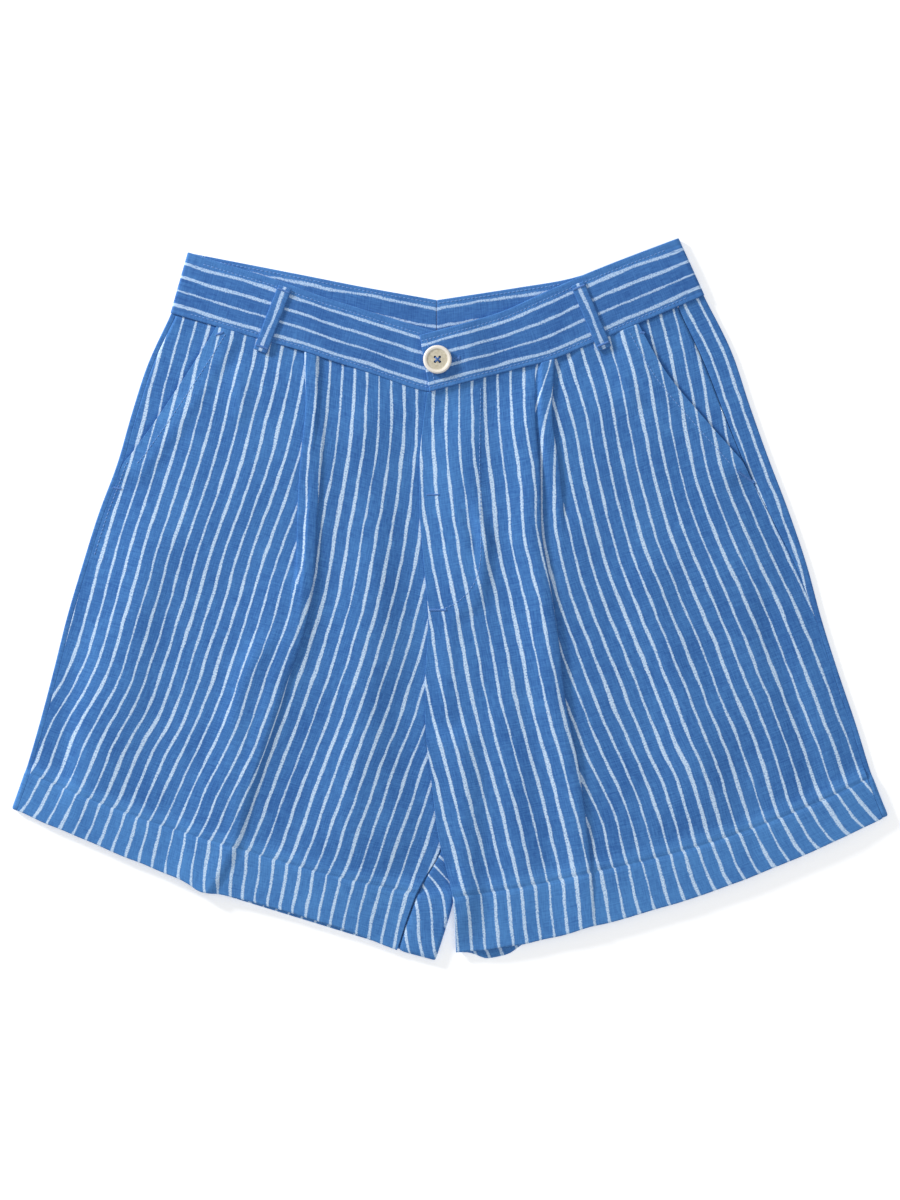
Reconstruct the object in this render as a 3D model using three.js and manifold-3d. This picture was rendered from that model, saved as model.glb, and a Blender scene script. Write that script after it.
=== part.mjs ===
// Bermuda shorts in striped linen, laid flat with the front up and the open waist lying as a V.
// Millimetres, +Z up, +Y towards the waist. The origin is on the surface, at the middle of the outline.
// Right and left are the wearer's own: the wearer's left is at +X.

import * as THREE from 'three';
import { mergeVertices } from 'three/addons/utils/BufferGeometryUtils.js';
import Module from 'manifold-3d';

const wasm = await Module();
wasm.setup();

// Cloth and the order of the layers, from the surface up
const CLOTH = 1.0;
const GAP = 0.3;
const LAYER = CLOTH + GAP;
const BACK_LEVEL = CLOTH / 2;
const FRONT_LEVEL = BACK_LEVEL + LAYER;
const BAND = 2 * CLOTH;
const HEM_LIFT = 2 * CLOTH;
const BAND_BACK_LEVEL = BAND / 2;
const BAND_FRONT_LEVEL = BAND_BACK_LEVEL + BAND + GAP;
const TAB_LIFT = BAND + GAP;
const TAB_COVER = 10;
const TAB_BLEND = 24;

// How softly the front stands off the back, and how a pleat's ridge dies away towards the middle
const LOFT = 2.4;
const LOFT_EDGE = 32;
const PLEAT_RISE = 2 * LAYER;
const PLEAT_RIDGE = 17;
const OPEN_STEP = 5;
const HEM_LOFT = 0.55;

// Seams, pocket and fly
const POCKET_SECTION = 2.6;
const POCKET_TUCK = 12;
const POCKET_BLEND = 11;
const FLY_WIDTH = 30;
const FLY_OVERLAP = 12;
const FLY_SECTIONS = 4;
const FLY_BLEND = 12;

// Rows of the panels, as places between the sections of the tables below
const CROTCH_SECTION = 6;
const INSEAM_SECTION = 8;
const HEM_SECTION = 9;
const ROWS = [0, 0.2, 0.45, 0.75, 1, 1.4, 1.8, 2.2, 2.6, 3, 3.5, 4, 4.5, 5, 5.5, 5.8, 6, 6.25, 6.5, 7, 7.5, 8,
  8.4, 8.7, 8.9, 9, 9.12, 9.5, 10];

// Columns of the panels: distances in from the side, from the pleat and from the centre
const SIDE_STEPS = [0, 7, 14, 25];
const SIDE_PARTS = [0.3, 0.6, 0.85];
const FOLD_STEPS = [5, 9, 14, 20];
const RIGHT_CENTRE_STEPS = [52, 40, 26, 12, 0];
const RIGHT_BACK = { parts: [0.1, 0.27, 0.46, 0.65, 0.82], steps: [38, 26, 14, 7] };
const LEFT_BACK = { parts: [0.1, 0.23, 0.38, 0.54, 0.65], steps: [60, 47, 38, 26, 14, 7, 0] };

// The left leg's inner edge climbs over the right leg between these heights, and over its hem below the last
const CLIMB = {
  from: -84, fadeIn: 16, to: -246, fadeOut: 30, x: 27, across: 20, hem: -186, overHem: 10, spare: 0.5,
};

// The left back hem shows below the front between these places
const HEM_PEEK = { from: 14, to: 54, blend: 10, drop: 8 };

// Belt loops and button
const LOOP_WIDTH = 10;
const LOOP_CLOTH = 1.2;
const LOOP_LEVEL = BAND_FRONT_LEVEL + BAND / 2 + GAP + LOOP_CLOTH / 2;
const LOOP_DROP = 0.8;
const LOOP_SEAM = 0.86;
const BUTTON = { across: 20, thick: 3, rim: 2.6, dish: 0.7, hole: 1.9, spread: 3.3, x: -8.8, y: 167.7 };

// The back panels' top edge follows the back waistband, which is higher than the front's seam at mid-hip.
const BACK_HIP = { right: { rise: 9.8, bow: 0 }, left: { rise: 11, bow: 3.6 } };

const COLOURS = {
  linen: '#4478c0',
  band: '#4a80c6',
  button: '#e6ddcc',
};

// A table's rows become objects with the column names given in its heading.
const table = (heading, ...rows) => {
  const names = heading.split(' ');
  return rows.map((row) => Object.fromEntries(names.map((name, column) => [name, row[column]])));
};

// Sections of the right leg from waist seam to hem. Edge is the fold at the side, wrap is how far in from it
// the side seam lies and mouth how far in the front ends (at the pocket mouth, and then at the seam). Fold is
// the pleat's edge and tuck the cloth folded away beneath it, which turns negative where the pleat has opened.
const RIGHT_LEG = table(
  'edgeX edgeY wrap mouth foldX foldY tuck rise centreX centreY backX backY backWrap bowSide bowCentre',
  [-194.6, 199.9, 3.4, 32.4, -101.8, 172.8, 10, 1, -12, 144.0, -9.3, 167.4, 0, 0, 0],
  [-210.5, 166, 3.4, 27.5, -100.7, 135, 8, 1, -14.5, 105, -10.5, 105, 0, 0, 0],
  [-222, 131, 3.4, 17, -104.5, 96, 4, 0.95, -15.5, 66, -11.5, 66, 0, 0, 0],
  [-232.4, 95, 3.4, 4.5, -106.5, 58, -1, 0.85, -13.5, 27, -12.5, 27, 0, 0, 0],
  [-245.5, 60, 3.4, 3.4, -106.7, 19, -4, 0.8, -10.5, -12, -13.5, -12, 0, 0, 0],
  [-256.8, 24, 3.4, 3.4, -106.7, -19, -5, 0.8, -9.5, -51, -14.5, -51, 0, 0, 0],
  [-267.5, -12, 3.4, 3.4, -114, -58, -5, 0.8, -16.6, -90, -16.0, -90, 0, 0, 0],
  [-276.5, -48, 3.4, 3.4, -125, -96, -5, 0.8, -9.5, -129, -9.0, -129, 0, 1, 0],
  [-286, -84, 3.4, 3.4, -138, -135, -5, 0.8, -4, -168, 2, -168, 6, 2, 1],
  [-296.5, -120, 3.4, 3.4, -148.5, -173, -5, 0.8, -23, -205, 3.2, -203, 26, 3.5, 2.5],
  [-305.6, -146.2, 3.4, 3.4, -166.5, -204, -5, 0.8, -36.7, -245, -11, -251.9, 26.6, 0.5, -3],
);

// The left leg, whose side seam runs up to 20 mm onto the front and whose inseam is at its own edge.
const LEFT_LEG = table(
  'edgeX edgeY wrap mouth foldX foldY tuck rise centreX centreY backX backY bowSide bowCentre',
  [177.2, 212.2, 20, 49.1, 73.1, 167.8, 10, 1, -16.4, 144.4, -9.0, 167.4, 0, 0],
  [196, 175, 21, 47, 71.3, 128, 7, 1, -21.1, 105, -10.2, 105, 0, 0],
  [208.7, 137.5, 19, 32, 76.5, 88.5, 2, 0.9, -21.8, 66, -11.2, 66, 0, 0],
  [222, 100, 17, 17, 80, 49, -3, 0.6, -18.8, 27, -12.2, 27, 0, 0],
  [236.3, 62.5, 13, 13, 82, 9, -6, 0.35, -15.6, -12, -13.2, -12, 0, 0],
  [249, 25, 7.5, 7.5, 84, -31, -8, 0.25, -17.5, -51, -14.2, -51, 0, 0],
  [259, -12, 3.6, 3.6, 86, -71, -8, 0.25, -17.5, -90, -15.7, -90, 1.5, 0],
  [270.8, -49.5, 3.4, 3.4, 90, -111, -8, 0.25, -13, -129, -12, -129, 3, 0.5],
  [283.5, -87, 3.4, 3.4, 95, -150, -8, 0.3, -8, -168, -7, -168, 5, 1],
  [295, -124, 3.4, 3.4, 98.5, -190, -8, 0.3, 1.5, -207, 2.5, -207, 7.5, 2],
  [305.6, -151.1, 3.4, 3.4, 100.5, -228, -8, 0.3, 3.9, -246.3, 5, -247.5, 6.7, 3],
);

// Soft folds of the front, each a line through three places, with its half width and its height.
// A negative height is a trough.
const FOLDS = table(
  'x1 y1 x2 y2 x3 y3 width height',
  [-86, 140, -91, 85, -93, 20, 7, -1.9],
  [-124, -20, -143, -55, -152, -100, 7, 1.3],
  [-258, 5, -268, -65, -277, -155, 8, -2.2],
  [-196, 70, -222, -30, -246, -150, 16, 1.2],
  [-60, 60, -64, -80, -80, -215, 17, 1.0],
  [57, 150, 62, 70, 72, -28, 6, -2.2],
  [78, -55, 88, -120, 99, -225, 9, -2.2],
  [128, 60, 158, -60, 190, -190, 18, 1.1],
  [214, 20, 238, -60, 262, -150, 10, -1.4],
  [22, 60, 24, 25, 19, 0, 5, 1.0],
  [38, -20, 44, -120, 52, -235, 14, 0.9],
);

// The waistband's stations. Each half runs from centre front to the side fold and back to centre back.
const BAND_RIGHT = {
  front: table(
    'topX topY lowX lowY',
    [8, 183.5, 4, 151],
    [-13, 188.6, -15.8, 145.6],
    [-42.6, 197.6, -55, 158.2],
    [-69.6, 206, -80, 166.2],
    [-92, 213.2, -101.8, 173.4],
    [-121, 223.8, -133, 182.3],
    [-150, 232.7, -162.3, 190.8],
    [-172, 239.4, -184, 197.1],
  ),
  side: { topX: -182.5, topY: 243, lowX: -194.6, lowY: 200.3 },
  back: table(
    'topX topY lowX lowY',
    [-172, 240.8, -184, 199.4],
    [-140, 234.6, -147, 192.6],
    [-100, 226.8, -106, 184.6],
    [-60, 218.9, -64, 176.8],
    [-9.3, 209.9, -9.3, 167.9],
  ),
};
const BAND_LEFT = {
  front: table(
    'topX topY lowX lowY',
    [-21.3, 184.9, -14.4, 145.3],
    [-7.3, 188.8, -1, 148.8],
    [6, 192.3, 13, 152.5],
    [20, 196.5, 28, 156.4],
    [39.6, 203, 50, 162.2],
    [60, 212.4, 73.1, 168.5],
    [89.2, 225.6, 103, 180.9],
    [115, 236.1, 131.1, 192.9],
    [138, 244.9, 158, 204.4],
    [150, 249.4, 168, 208.7],
  ),
  side: { topX: 159, topY: 252.8, lowX: 177.2, lowY: 212.6 },
  back: table(
    'topX topY lowX lowY',
    [150, 249.4, 168, 208.7],
    [122, 237.6, 138, 198],
    [85.1, 225.2, 96, 184.4],
    [46.3, 218.4, 52, 176.4],
    [-9, 209.9, -9, 167.9],
  ),
};

// Belt loops: the middle of the top and of the foot
const LOOPS = table(
  'side topX topY footX footY',
  ['right', -115.1, 218.6, -132.6, 173.6],
  ['left', 88.9, 221, 108.2, 175.4],
);

const smooth = (t) => {
  const s = Math.min(1, Math.max(0, t));
  return s * s * (3 - 2 * s);
};
const mix = (a, b, t) => a + (b - a) * t;
const along = (a, b, distance) => a.clone().addScaledVector(b.clone().sub(a).normalize(), distance);

// One column of a table, read smoothly between its sections.
function read(sections, name, at) {
  const last = sections.length - 1;
  const i = Math.min(last - 1, Math.floor(at));
  const value = (k) => sections[Math.min(last, Math.max(0, k))][name];
  return catmullRom(at - i, value(i - 1), value(i), value(i + 1), value(i + 2));
}

function catmullRom(t, p0, p1, p2, p3) {
  const v0 = (p2 - p0) / 2;
  const v1 = (p3 - p1) / 2;
  return (2 * p1 - 2 * p2 + v0 + v1) * t ** 3 + (-3 * p1 + 3 * p2 - 2 * v0 - v1) * t ** 2 + v0 * t + p1;
}

const place = (sections, name, at) =>
  new THREE.Vector2(read(sections, name + 'X', at), read(sections, name + 'Y', at));

// Height of the soft folds at a place on the front.
function relief(x, y) {
  return FOLDS.reduce((sum, fold) => {
    const t = (fold.y1 - y) / (fold.y1 - fold.y3);
    if (t <= 0 || t >= 1) return sum;
    const m = (fold.y1 - fold.y2) / (fold.y1 - fold.y3);
    const middle = (fold.x2 - fold.x1 * (1 - m) - fold.x3 * m) / (m * (1 - m));
    const off = x - (fold.x1 * (1 - t) + fold.x3 * t + middle * t * (1 - t));
    const ends = smooth(t / 0.2) * smooth((1 - t) / 0.2);
    return sum + fold.height * Math.exp(-((off / fold.width) ** 2)) * ends;
  }, 0);
}

// How far the turned-up hem has begun at a row: 0 above it and 1 in it. The front starts to rise before it,
// because it lies on the back's hem as well. At the top both panels lie under the waistband's seam.
const hemAt = (row) => smooth((row - (HEM_SECTION - 0.12)) / 0.24);
const frontHemAt = (row) => smooth((row - (HEM_SECTION - 0.35)) / 0.3);
const seamAt = (row) => 1 - smooth(row / 0.45);

// A closed cloth wall from a grid of points on its middle. Each point may carry extra thickness on the side
// away from its face. The face is on the side that rows crossed with columns give, or opposite when flipped.
// skip(row, column) leaves a square of the grid out.
function wall(grid, { half = CLOTH / 2, flip = false, skip = () => false } = {}) {
  const rows = grid.length;
  const columns = grid[0].length;
  const face = [];
  const back = [];
  grid.forEach((line, i) =>
    line.forEach((point, j) => {
      const across = new THREE.Vector3().subVectors(
        line[Math.min(columns - 1, j + 1)], line[Math.max(0, j - 1)]);
      const down = new THREE.Vector3().subVectors(
        grid[Math.min(rows - 1, i + 1)][j], grid[Math.max(0, i - 1)][j]);
      const normal = down.cross(across).normalize().multiplyScalar(flip ? -1 : 1);
      face.push(point.clone().addScaledVector(normal, half));
      back.push(point.clone().addScaledVector(normal, -half - (point.extra ?? 0)));
    }));

  const triangles = [];
  const edges = new Map();
  const index = (i, j) => i * columns + j;
  const addFace = (a, b, c) => {
    const [p, q, r] = flip ? [a, c, b] : [a, b, c];
    triangles.push(face[p], face[q], face[r], back[p], back[r], back[q]);
    for (const [from, to] of [[p, q], [q, r], [r, p]]) {
      if (!edges.delete(`${to} ${from}`)) edges.set(`${from} ${to}`, [from, to]);
    }
  };
  for (let i = 0; i < rows - 1; i += 1) {
    for (let j = 0; j < columns - 1; j += 1) {
      if (!skip(i, j)) {
        addFace(index(i, j), index(i + 1, j), index(i + 1, j + 1));
        addFace(index(i, j), index(i + 1, j + 1), index(i, j + 1));
      }
    }
  }
  for (const [from, to] of edges.values()) {
    triangles.push(face[to], face[from], back[from], face[to], back[from], back[to]);
  }
  return new THREE.BufferGeometry().setFromPoints(triangles);
}

const point3 = (plan, z, extra = 0) => {
  const point = new THREE.Vector3(plan.x, plan.y, z);
  point.extra = extra;
  return point;
};

// A place between the side and the pleat, or the pleat and the centre, with the row's own bow.
function bowed(from, to, distance, bow) {
  const t = distance / from.distanceTo(to);
  return from.clone().lerp(to, t).add(new THREE.Vector2(0, -4 * bow * t * (1 - t)));
}

// How much the left leg is lifted where its inner edge lies over the right leg.
function climbAt(x, y) {
  const down = smooth((CLIMB.from - y) / CLIMB.fadeIn) * smooth((y - CLIMB.to) / CLIMB.fadeOut);
  const beside = smooth((CLIMB.x - x) / CLIMB.across);
  const hem = HEM_LIFT * smooth((CLIMB.hem - y) / CLIMB.overHem);
  return down * beside * (2 * LAYER + CLIMB.spare + hem);
}

// How far the left back hem hangs below its line at a place.
function peekAt(x) {
  const { from, to, blend, drop } = HEM_PEEK;
  return drop * smooth((x - from) / blend) * smooth((to - x) / blend);
}

// One front panel. From the side: the outer part, the pleat's three layers, then the inner part.
function frontPanel(sections, left) {
  return ROWS.map((row) => {
    const edge = place(sections, 'edge', row);
    const fold = place(sections, 'fold', row);
    const centre = along(place(sections, 'centre', row), fold, GAP);
    const inset = Math.max(read(sections, 'mouth', row), read(sections, 'wrap', row)) + GAP;
    const side = along(edge, fold, inset);
    const bowSide = read(sections, 'bowSide', row);
    const bowCentre = read(sections, 'bowCentre', row);
    const tuck = read(sections, 'tuck', row);
    const rise = read(sections, 'rise', row) * PLEAT_RISE;
    const outer = side.distanceTo(fold);
    const inner = fold.distanceTo(centre);
    const pocket = 1 - smooth((row - POCKET_SECTION - 0.05) / 0.3);
    const overFly = left ? mix(FLY_WIDTH + 8, FLY_OVERLAP + 2, smooth((row - FLY_SECTIONS + 0.1) / 0.3)) : 0;
    const leaveFly = left ? 1 - smooth((row - CROTCH_SECTION + 0.2) / 0.5) : 0;
    const hem = frontHemAt(row);

    const point = (plan, fromSide, fromCentre, stack) => {
      const atSeam = seamAt(row) * LAYER;
      const atMouth = pocket * (1 - smooth((fromSide - POCKET_TUCK - 2) / POCKET_BLEND)) * LAYER;
      const atFly = leaveFly * (1 - smooth((fromCentre - overFly) / FLY_BLEND)) * LAYER;
      const clear = fromCentre - (left ? 0 : FLY_OVERLAP);
      const loft = smooth(fromSide / LOFT_EDGE) * smooth(clear / LOFT_EDGE) * smooth(row / 1.2);
      const soft = Math.max(0, LOFT + relief(plan.x, plan.y)) * loft * mix(1, HEM_LOFT, hem);
      const climb = left ? climbAt(plan.x, plan.y) : 0;
      const under = Math.max(atSeam * stack.seam, atMouth) + atFly + hem * HEM_LIFT + climb;
      return point3(plan, FRONT_LEVEL + under + soft + stack.height, hem * CLOTH);
    };

    const line = [];
    const flat = { seam: 1, height: 0 };
    for (const step of SIDE_STEPS) {
      line.push(point(bowed(side, fold, step, bowSide), step, outer + inner, flat));
    }
    for (const part of SIDE_PARTS) {
      const step = mix(SIDE_STEPS[3], outer - FOLD_STEPS[0], part);
      const seam = smooth((outer - step - 6) / 16);
      line.push(point(bowed(side, fold, step, bowSide), step, outer + inner, { seam, height: 0 }));
    }

    const round = LAYER / 2;
    const closed = smooth((tuck + 1) / 3);
    const layers = table(
      'folded open height',
      [tuck - round - 3, -OPEN_STEP - 2, 0],
      [tuck - round, -OPEN_STEP, 0],
      [tuck, -OPEN_STEP * 0.75, 0.25],
      [tuck - round, -OPEN_STEP * 0.5, 0.5],
      [round, -OPEN_STEP * 0.25, 0.75 - 0.25 * closed],
      [0, 0, 1 - 0.25 * closed],
      [round, 2.5, 1],
    );
    for (const layer of layers) {
      const step = mix(layer.open, layer.folded, closed);
      const plan = step < 0
        ? bowed(side, fold, outer + step, bowSide)
        : bowed(fold, centre, step, bowCentre);
      line.push(point(plan, outer + step, inner - step, { seam: 0, height: layer.height * rise }));
    }

    const far = left
      ? [overFly + 2 * FLY_BLEND, overFly + FLY_BLEND, overFly, overFly / 2, 0]
      : RIGHT_CENTRE_STEPS;
    const middle = (FOLD_STEPS[3] + inner - far[0]) / 2;
    for (const step of [...FOLD_STEPS, middle, ...far.map((distance) => inner - distance)]) {
      const ridge = 1 - smooth((step - 4) / (PLEAT_RIDGE - 4));
      const plan = bowed(fold, centre, step, bowCentre);
      line.push(point(plan, outer + step, inner - step, { seam: 1 - ridge, height: ridge * rise }));
    }
    return line;
  });
}

// A roll at a panel's edge: from the flat cloth below, round the fold, to the cloth that lies on top.
// It gives places measured in from the edge, with their heights above the flat cloth.
const ROLL_POINTS = 7;
function roll(height, wrap) {
  const radius = height / 2;
  const bend = [0, 0.25, 0.5, 0.75, 1].map((part) => ({
    inset: radius * (1 - Math.sin(Math.PI * part)),
    up: radius * (1 - Math.cos(Math.PI * part)),
  }));
  const onTop = [0.5, 1].map((part) => ({ inset: radius + wrap * part, up: height }));
  return [...bend, ...onTop];
}

// One back panel: flat on the surface, rolled round the side, and on the right leg round the inseam as well.
function backPanel(sections, left) {
  const hipLine = BACK_HIP[left ? 'left' : 'right'];
  const { parts, steps } = left ? LEFT_BACK : RIGHT_BACK;
  const rolls = (row) => !left && row >= INSEAM_SECTION;
  const grid = ROWS.map((row) => {
    const edge = place(sections, 'edge', row);
    const fold = place(sections, 'fold', row);
    const back = place(sections, 'back', row);
    const atTop = 1 - smooth(row / 0.8);
    const hip = fold.clone().add(new THREE.Vector2(0, hipLine.rise * atTop));
    const bow = read(sections, 'bowSide', row) + hipLine.bow * atTop;
    const hem = hemAt(row);
    const height = FRONT_LEVEL + hem * HEM_LIFT - BACK_LEVEL;
    const wrap = Math.max(1.2, read(sections, 'wrap', row) - height / 2);
    const lift = (plan) => (left ? climbAt(plan.x, plan.y) : 0);
    const at = (plan, z) => point3(plan, z + lift(plan), hem * CLOTH);
    const turn = edge.distanceTo(hip);
    const total = turn + hip.distanceTo(back);
    const flatAt = (distance) => {
      const plan = distance < turn
        ? bowed(edge, hip, distance, bow)
        : bowed(hip, back, distance - turn, 0);
      plan.y -= left ? peekAt(plan.x) * smooth((row - HEM_SECTION) / 0.6) : 0;
      return at(plan, BACK_LEVEL);
    };

    const atSide = ({ inset, up }) => at(along(edge, fold, inset), BACK_LEVEL + up);
    const line = roll(height, wrap).reverse().map(atSide);
    for (const part of parts) line.push(flatAt(part * total));
    for (const step of steps) line.push(flatAt(total - step));
    if (left) return line;

    const inseamWrap = Math.max(1.2, read(sections, 'backWrap', row) - height / 2);
    const inward = new THREE.Vector2().subVectors(place(sections, 'centre', row), back).normalize();
    for (const { inset, up } of roll(height, inseamWrap)) {
      line.push(rolls(row) ? at(back.clone().addScaledVector(inward, inset), BACK_LEVEL + up) : flatAt(total));
    }
    return line;
  });
  const firstRolled = ROWS.findIndex(rolls);
  const lastFlat = parts.length + steps.length + ROLL_POINTS;
  return wall(grid, { flip: !left, skip: (i, j) => !left && i < firstRolled && j >= lastFlat });
}

// Half of the waistband: along the front, round the side, and along the back with its inner side showing.
function waistband({ front, side, back }, left) {
  const lift = (x) => (left ? TAB_LIFT * (1 - smooth((x - TAB_COVER) / TAB_BLEND)) : 0);
  const across = (station, z) => [0, 1 / 3, 2 / 3, 1].map((part) => new THREE.Vector3(
    mix(station.topX, station.lowX, part), mix(station.topY, station.lowY, part), z));
  const inner = front[front.length - 1];
  const inward = new THREE.Vector2(inner.topX - side.topX, inner.topY - side.topY).normalize();
  const bend = roll(BAND_FRONT_LEVEL - BAND_BACK_LEVEL, 0).slice(0, 5).reverse();
  const round = bend.map(({ inset, up }) => across({
    topX: side.topX + inward.x * inset,
    topY: side.topY + inward.y * inset,
    lowX: side.lowX + inward.x * inset,
    lowY: side.lowY + inward.y * inset,
  }, BAND_BACK_LEVEL + up));
  const grid = [
    ...front.map((station) => across(station, BAND_FRONT_LEVEL + lift((station.topX + station.lowX) / 2))),
    ...round,
    ...back.map((station) => across(station, BAND_BACK_LEVEL)),
  ];
  return wall(grid, { half: BAND / 2, flip: left });
}

// The self-fabric piece behind a slanted pocket, from the side seam to beneath the front's edge.
function pocketBearer(sections) {
  return ROWS.filter((row) => row <= POCKET_SECTION).map((row) => {
    const edge = place(sections, 'edge', row);
    const fold = place(sections, 'fold', row);
    const start = read(sections, 'wrap', row) + GAP;
    const end = read(sections, 'mouth', row) + POCKET_TUCK;
    const at = (part) => point3(along(edge, fold, mix(start, end, part)), FRONT_LEVEL);
    return [0, 0.25, 0.5, 0.75, 1].map(at);
  });
}

// The right front's fly extension, which lies beneath the left front.
function flyUnderlap(sections) {
  return ROWS.filter((row) => row <= FLY_SECTIONS).map((row) => {
    const seam = place(sections, 'centre', row);
    const at = (step) => new THREE.Vector3(seam.x + step, seam.y, FRONT_LEVEL);
    return [GAP, FLY_WIDTH / 2, FLY_WIDTH].map(at);
  });
}

// A belt loop, which lies over the waistband and is tacked to the leg just below it.
function beltLoop({ topX, topY, footX, footY }) {
  const top = new THREE.Vector3(topX, topY, LOOP_LEVEL);
  const foot = new THREE.Vector3(footX, footY, LOOP_LEVEL);
  const beside = new THREE.Vector3(topY - footY, footX - topX, 0).setLength(LOOP_WIDTH / 2);
  return [0, 0.25, 0.5, 0.85, 0.93, 1].map((part) => {
    const middle = top.clone().lerp(foot, part);
    middle.z -= LOOP_DROP * smooth((part - LOOP_SEAM) / (1 - LOOP_SEAM));
    return [-1, 0, 1].map((offset) => middle.clone().addScaledVector(beside, offset));
  });
}

function solidOf(geometry) {
  const bare = geometry.clone();
  bare.deleteAttribute('normal');
  bare.deleteAttribute('uv');
  const merged = mergeVertices(bare, 1e-4);
  const corners = merged.index.array;
  const kept = [];
  for (let i = 0; i < corners.length; i += 3) {
    const [a, b, c] = corners.slice(i, i + 3);
    if (a !== b && b !== c && c !== a) kept.push(a, b, c);
  }
  return new wasm.Manifold(new wasm.Mesh({
    numProp: 3,
    vertProperties: Float32Array.from(merged.attributes.position.array),
    triVerts: Uint32Array.from(kept),
  }));
}

function geometryOf(solid) {
  const { vertProperties, triVerts } = solid.getMesh();
  const geometry = new THREE.BufferGeometry();
  geometry.setAttribute('position', new THREE.BufferAttribute(vertProperties, 3));
  geometry.setIndex(new THREE.BufferAttribute(triVerts, 1));
  return geometry;
}

// A four-hole button with a raised rim, turned about its own axis.
function button({ across, thick, rim, dish, hole, spread }) {
  const radius = across / 2;
  const profile = [
    [0, 0], [radius - 1.6, 0], [radius - 0.3, 0.7], [radius, 1.5], [radius - 0.4, thick - 0.4],
    [radius - 1.1, thick], [radius - rim + 0.4, thick - 0.15], [radius - rim - 0.6, thick - dish],
    [0, thick - dish],
  ].map(([r, z]) => new THREE.Vector2(r, z));
  const disc = solidOf(new THREE.LatheGeometry(profile, 40).rotateX(Math.PI / 2));
  const drilled = [45, 135, 225, 315].reduce((solid, degrees) => {
    const angle = THREE.MathUtils.degToRad(degrees);
    const drill = new THREE.CylinderGeometry(hole / 2, hole / 2, 3 * thick, 12)
      .rotateX(Math.PI / 2)
      .translate(Math.cos(angle) * spread / Math.SQRT2, Math.sin(angle) * spread / Math.SQRT2, 0);
    return solid.subtract(solidOf(drill));
  }, disc);
  return geometryOf(drilled);
}

const ownMaterial = (colour, roughness) =>
  new THREE.MeshStandardMaterial({ color: colour, roughness, metalness: 0 });

function mesh(name, geometry, material) {
  const made = new THREE.Mesh(geometry, material);
  made.name = name;
  return made;
}

const shorts = new THREE.Group();
const linen = ownMaterial(COLOURS.linen, 0.9);
const bandLinen = ownMaterial(COLOURS.band, 0.9);

shorts.add(mesh('front_right_leg', wall(frontPanel(RIGHT_LEG, false)), linen));
shorts.add(mesh('front_left_leg', wall(frontPanel(LEFT_LEG, true), { flip: true }), linen));
shorts.add(mesh('back_right_leg', backPanel(RIGHT_LEG, false), linen));
shorts.add(mesh('back_left_leg', backPanel(LEFT_LEG, true), linen));
shorts.add(mesh('waistband_right', waistband(BAND_RIGHT, false), bandLinen));
shorts.add(mesh('waistband_left', waistband(BAND_LEFT, true), bandLinen));
shorts.add(mesh('pocket_bearer_right', wall(pocketBearer(RIGHT_LEG)), linen));
shorts.add(mesh('pocket_bearer_left', wall(pocketBearer(LEFT_LEG), { flip: true }), linen));
shorts.add(mesh('fly_underlap', wall(flyUnderlap(RIGHT_LEG)), linen));
for (const loop of LOOPS) {
  shorts.add(mesh(`belt_loop_${loop.side}`, wall(beltLoop(loop), { half: LOOP_CLOTH / 2 }), bandLinen));
}
const closure = mesh('button', button(BUTTON), ownMaterial(COLOURS.button, 0.45));
closure.position.set(BUTTON.x, BUTTON.y, BAND_FRONT_LEVEL + TAB_LIFT + BAND / 2 + GAP);
shorts.add(closure);

export default shorts;
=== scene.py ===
"""Striped linen bermuda shorts, laid flat with the front up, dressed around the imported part.

Metres, +Z up from the surface, +Y towards the waist, +X towards the wearer's left.
The sections of the cut are given in millimetres and turned to metres where a mesh is made.
"""

import math

import bpy
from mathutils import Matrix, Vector, noise
from mathutils.bvhtree import BVHTree


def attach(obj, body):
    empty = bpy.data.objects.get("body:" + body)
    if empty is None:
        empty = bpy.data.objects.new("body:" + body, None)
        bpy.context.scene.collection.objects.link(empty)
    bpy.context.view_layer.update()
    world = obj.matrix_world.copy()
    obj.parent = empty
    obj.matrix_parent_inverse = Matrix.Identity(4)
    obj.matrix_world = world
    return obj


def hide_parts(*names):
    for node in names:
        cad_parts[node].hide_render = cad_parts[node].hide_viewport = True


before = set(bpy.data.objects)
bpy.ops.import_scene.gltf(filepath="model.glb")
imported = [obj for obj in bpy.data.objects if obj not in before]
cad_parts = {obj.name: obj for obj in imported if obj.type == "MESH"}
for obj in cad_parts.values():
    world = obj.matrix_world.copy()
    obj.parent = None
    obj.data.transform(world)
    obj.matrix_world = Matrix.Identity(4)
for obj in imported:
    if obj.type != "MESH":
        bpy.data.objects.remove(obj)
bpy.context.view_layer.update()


# Camera and light. The picture was taken from straight above, so the camera looks down on the middle of
# the outline, and its view is 630 by 840 mm at the surface. The light is a studio's: soft, from all round,
# and a little stronger from the upper left, which is where the folds' shadows fall away from.
VIEW_HEIGHT = 0.84
CAMERA_HEIGHT = 2.0

bpy.ops.object.select_all(action="DESELECT")
bpy.ops.object.camera_add(location=(0, 0, CAMERA_HEIGHT), rotation=(0, 0, 0))
camera = bpy.context.object
camera.name = "studio_camera"
camera.data.sensor_width = 36
camera.data.lens = camera.data.sensor_width * CAMERA_HEIGHT / VIEW_HEIGHT
bpy.context.scene.camera = camera
bpy.context.scene.view_settings.view_transform = "Standard"


def softbox(name, place, size, watts):
    bpy.ops.object.light_add(type="AREA", location=place)
    lamp = bpy.context.object
    lamp.name = name
    lamp.data.shape = "DISK"
    lamp.data.size = size
    lamp.data.energy = watts
    lamp.rotation_euler = (-Vector(place)).to_track_quat("-Z", "Y").to_euler()


softbox("softbox_upper_left", place=(-2.0, 1.5, 0.8), size=0.5, watts=74)
softbox("softbox_above", place=(0.4, -0.2, 2.6), size=2.6, watts=15)

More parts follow.
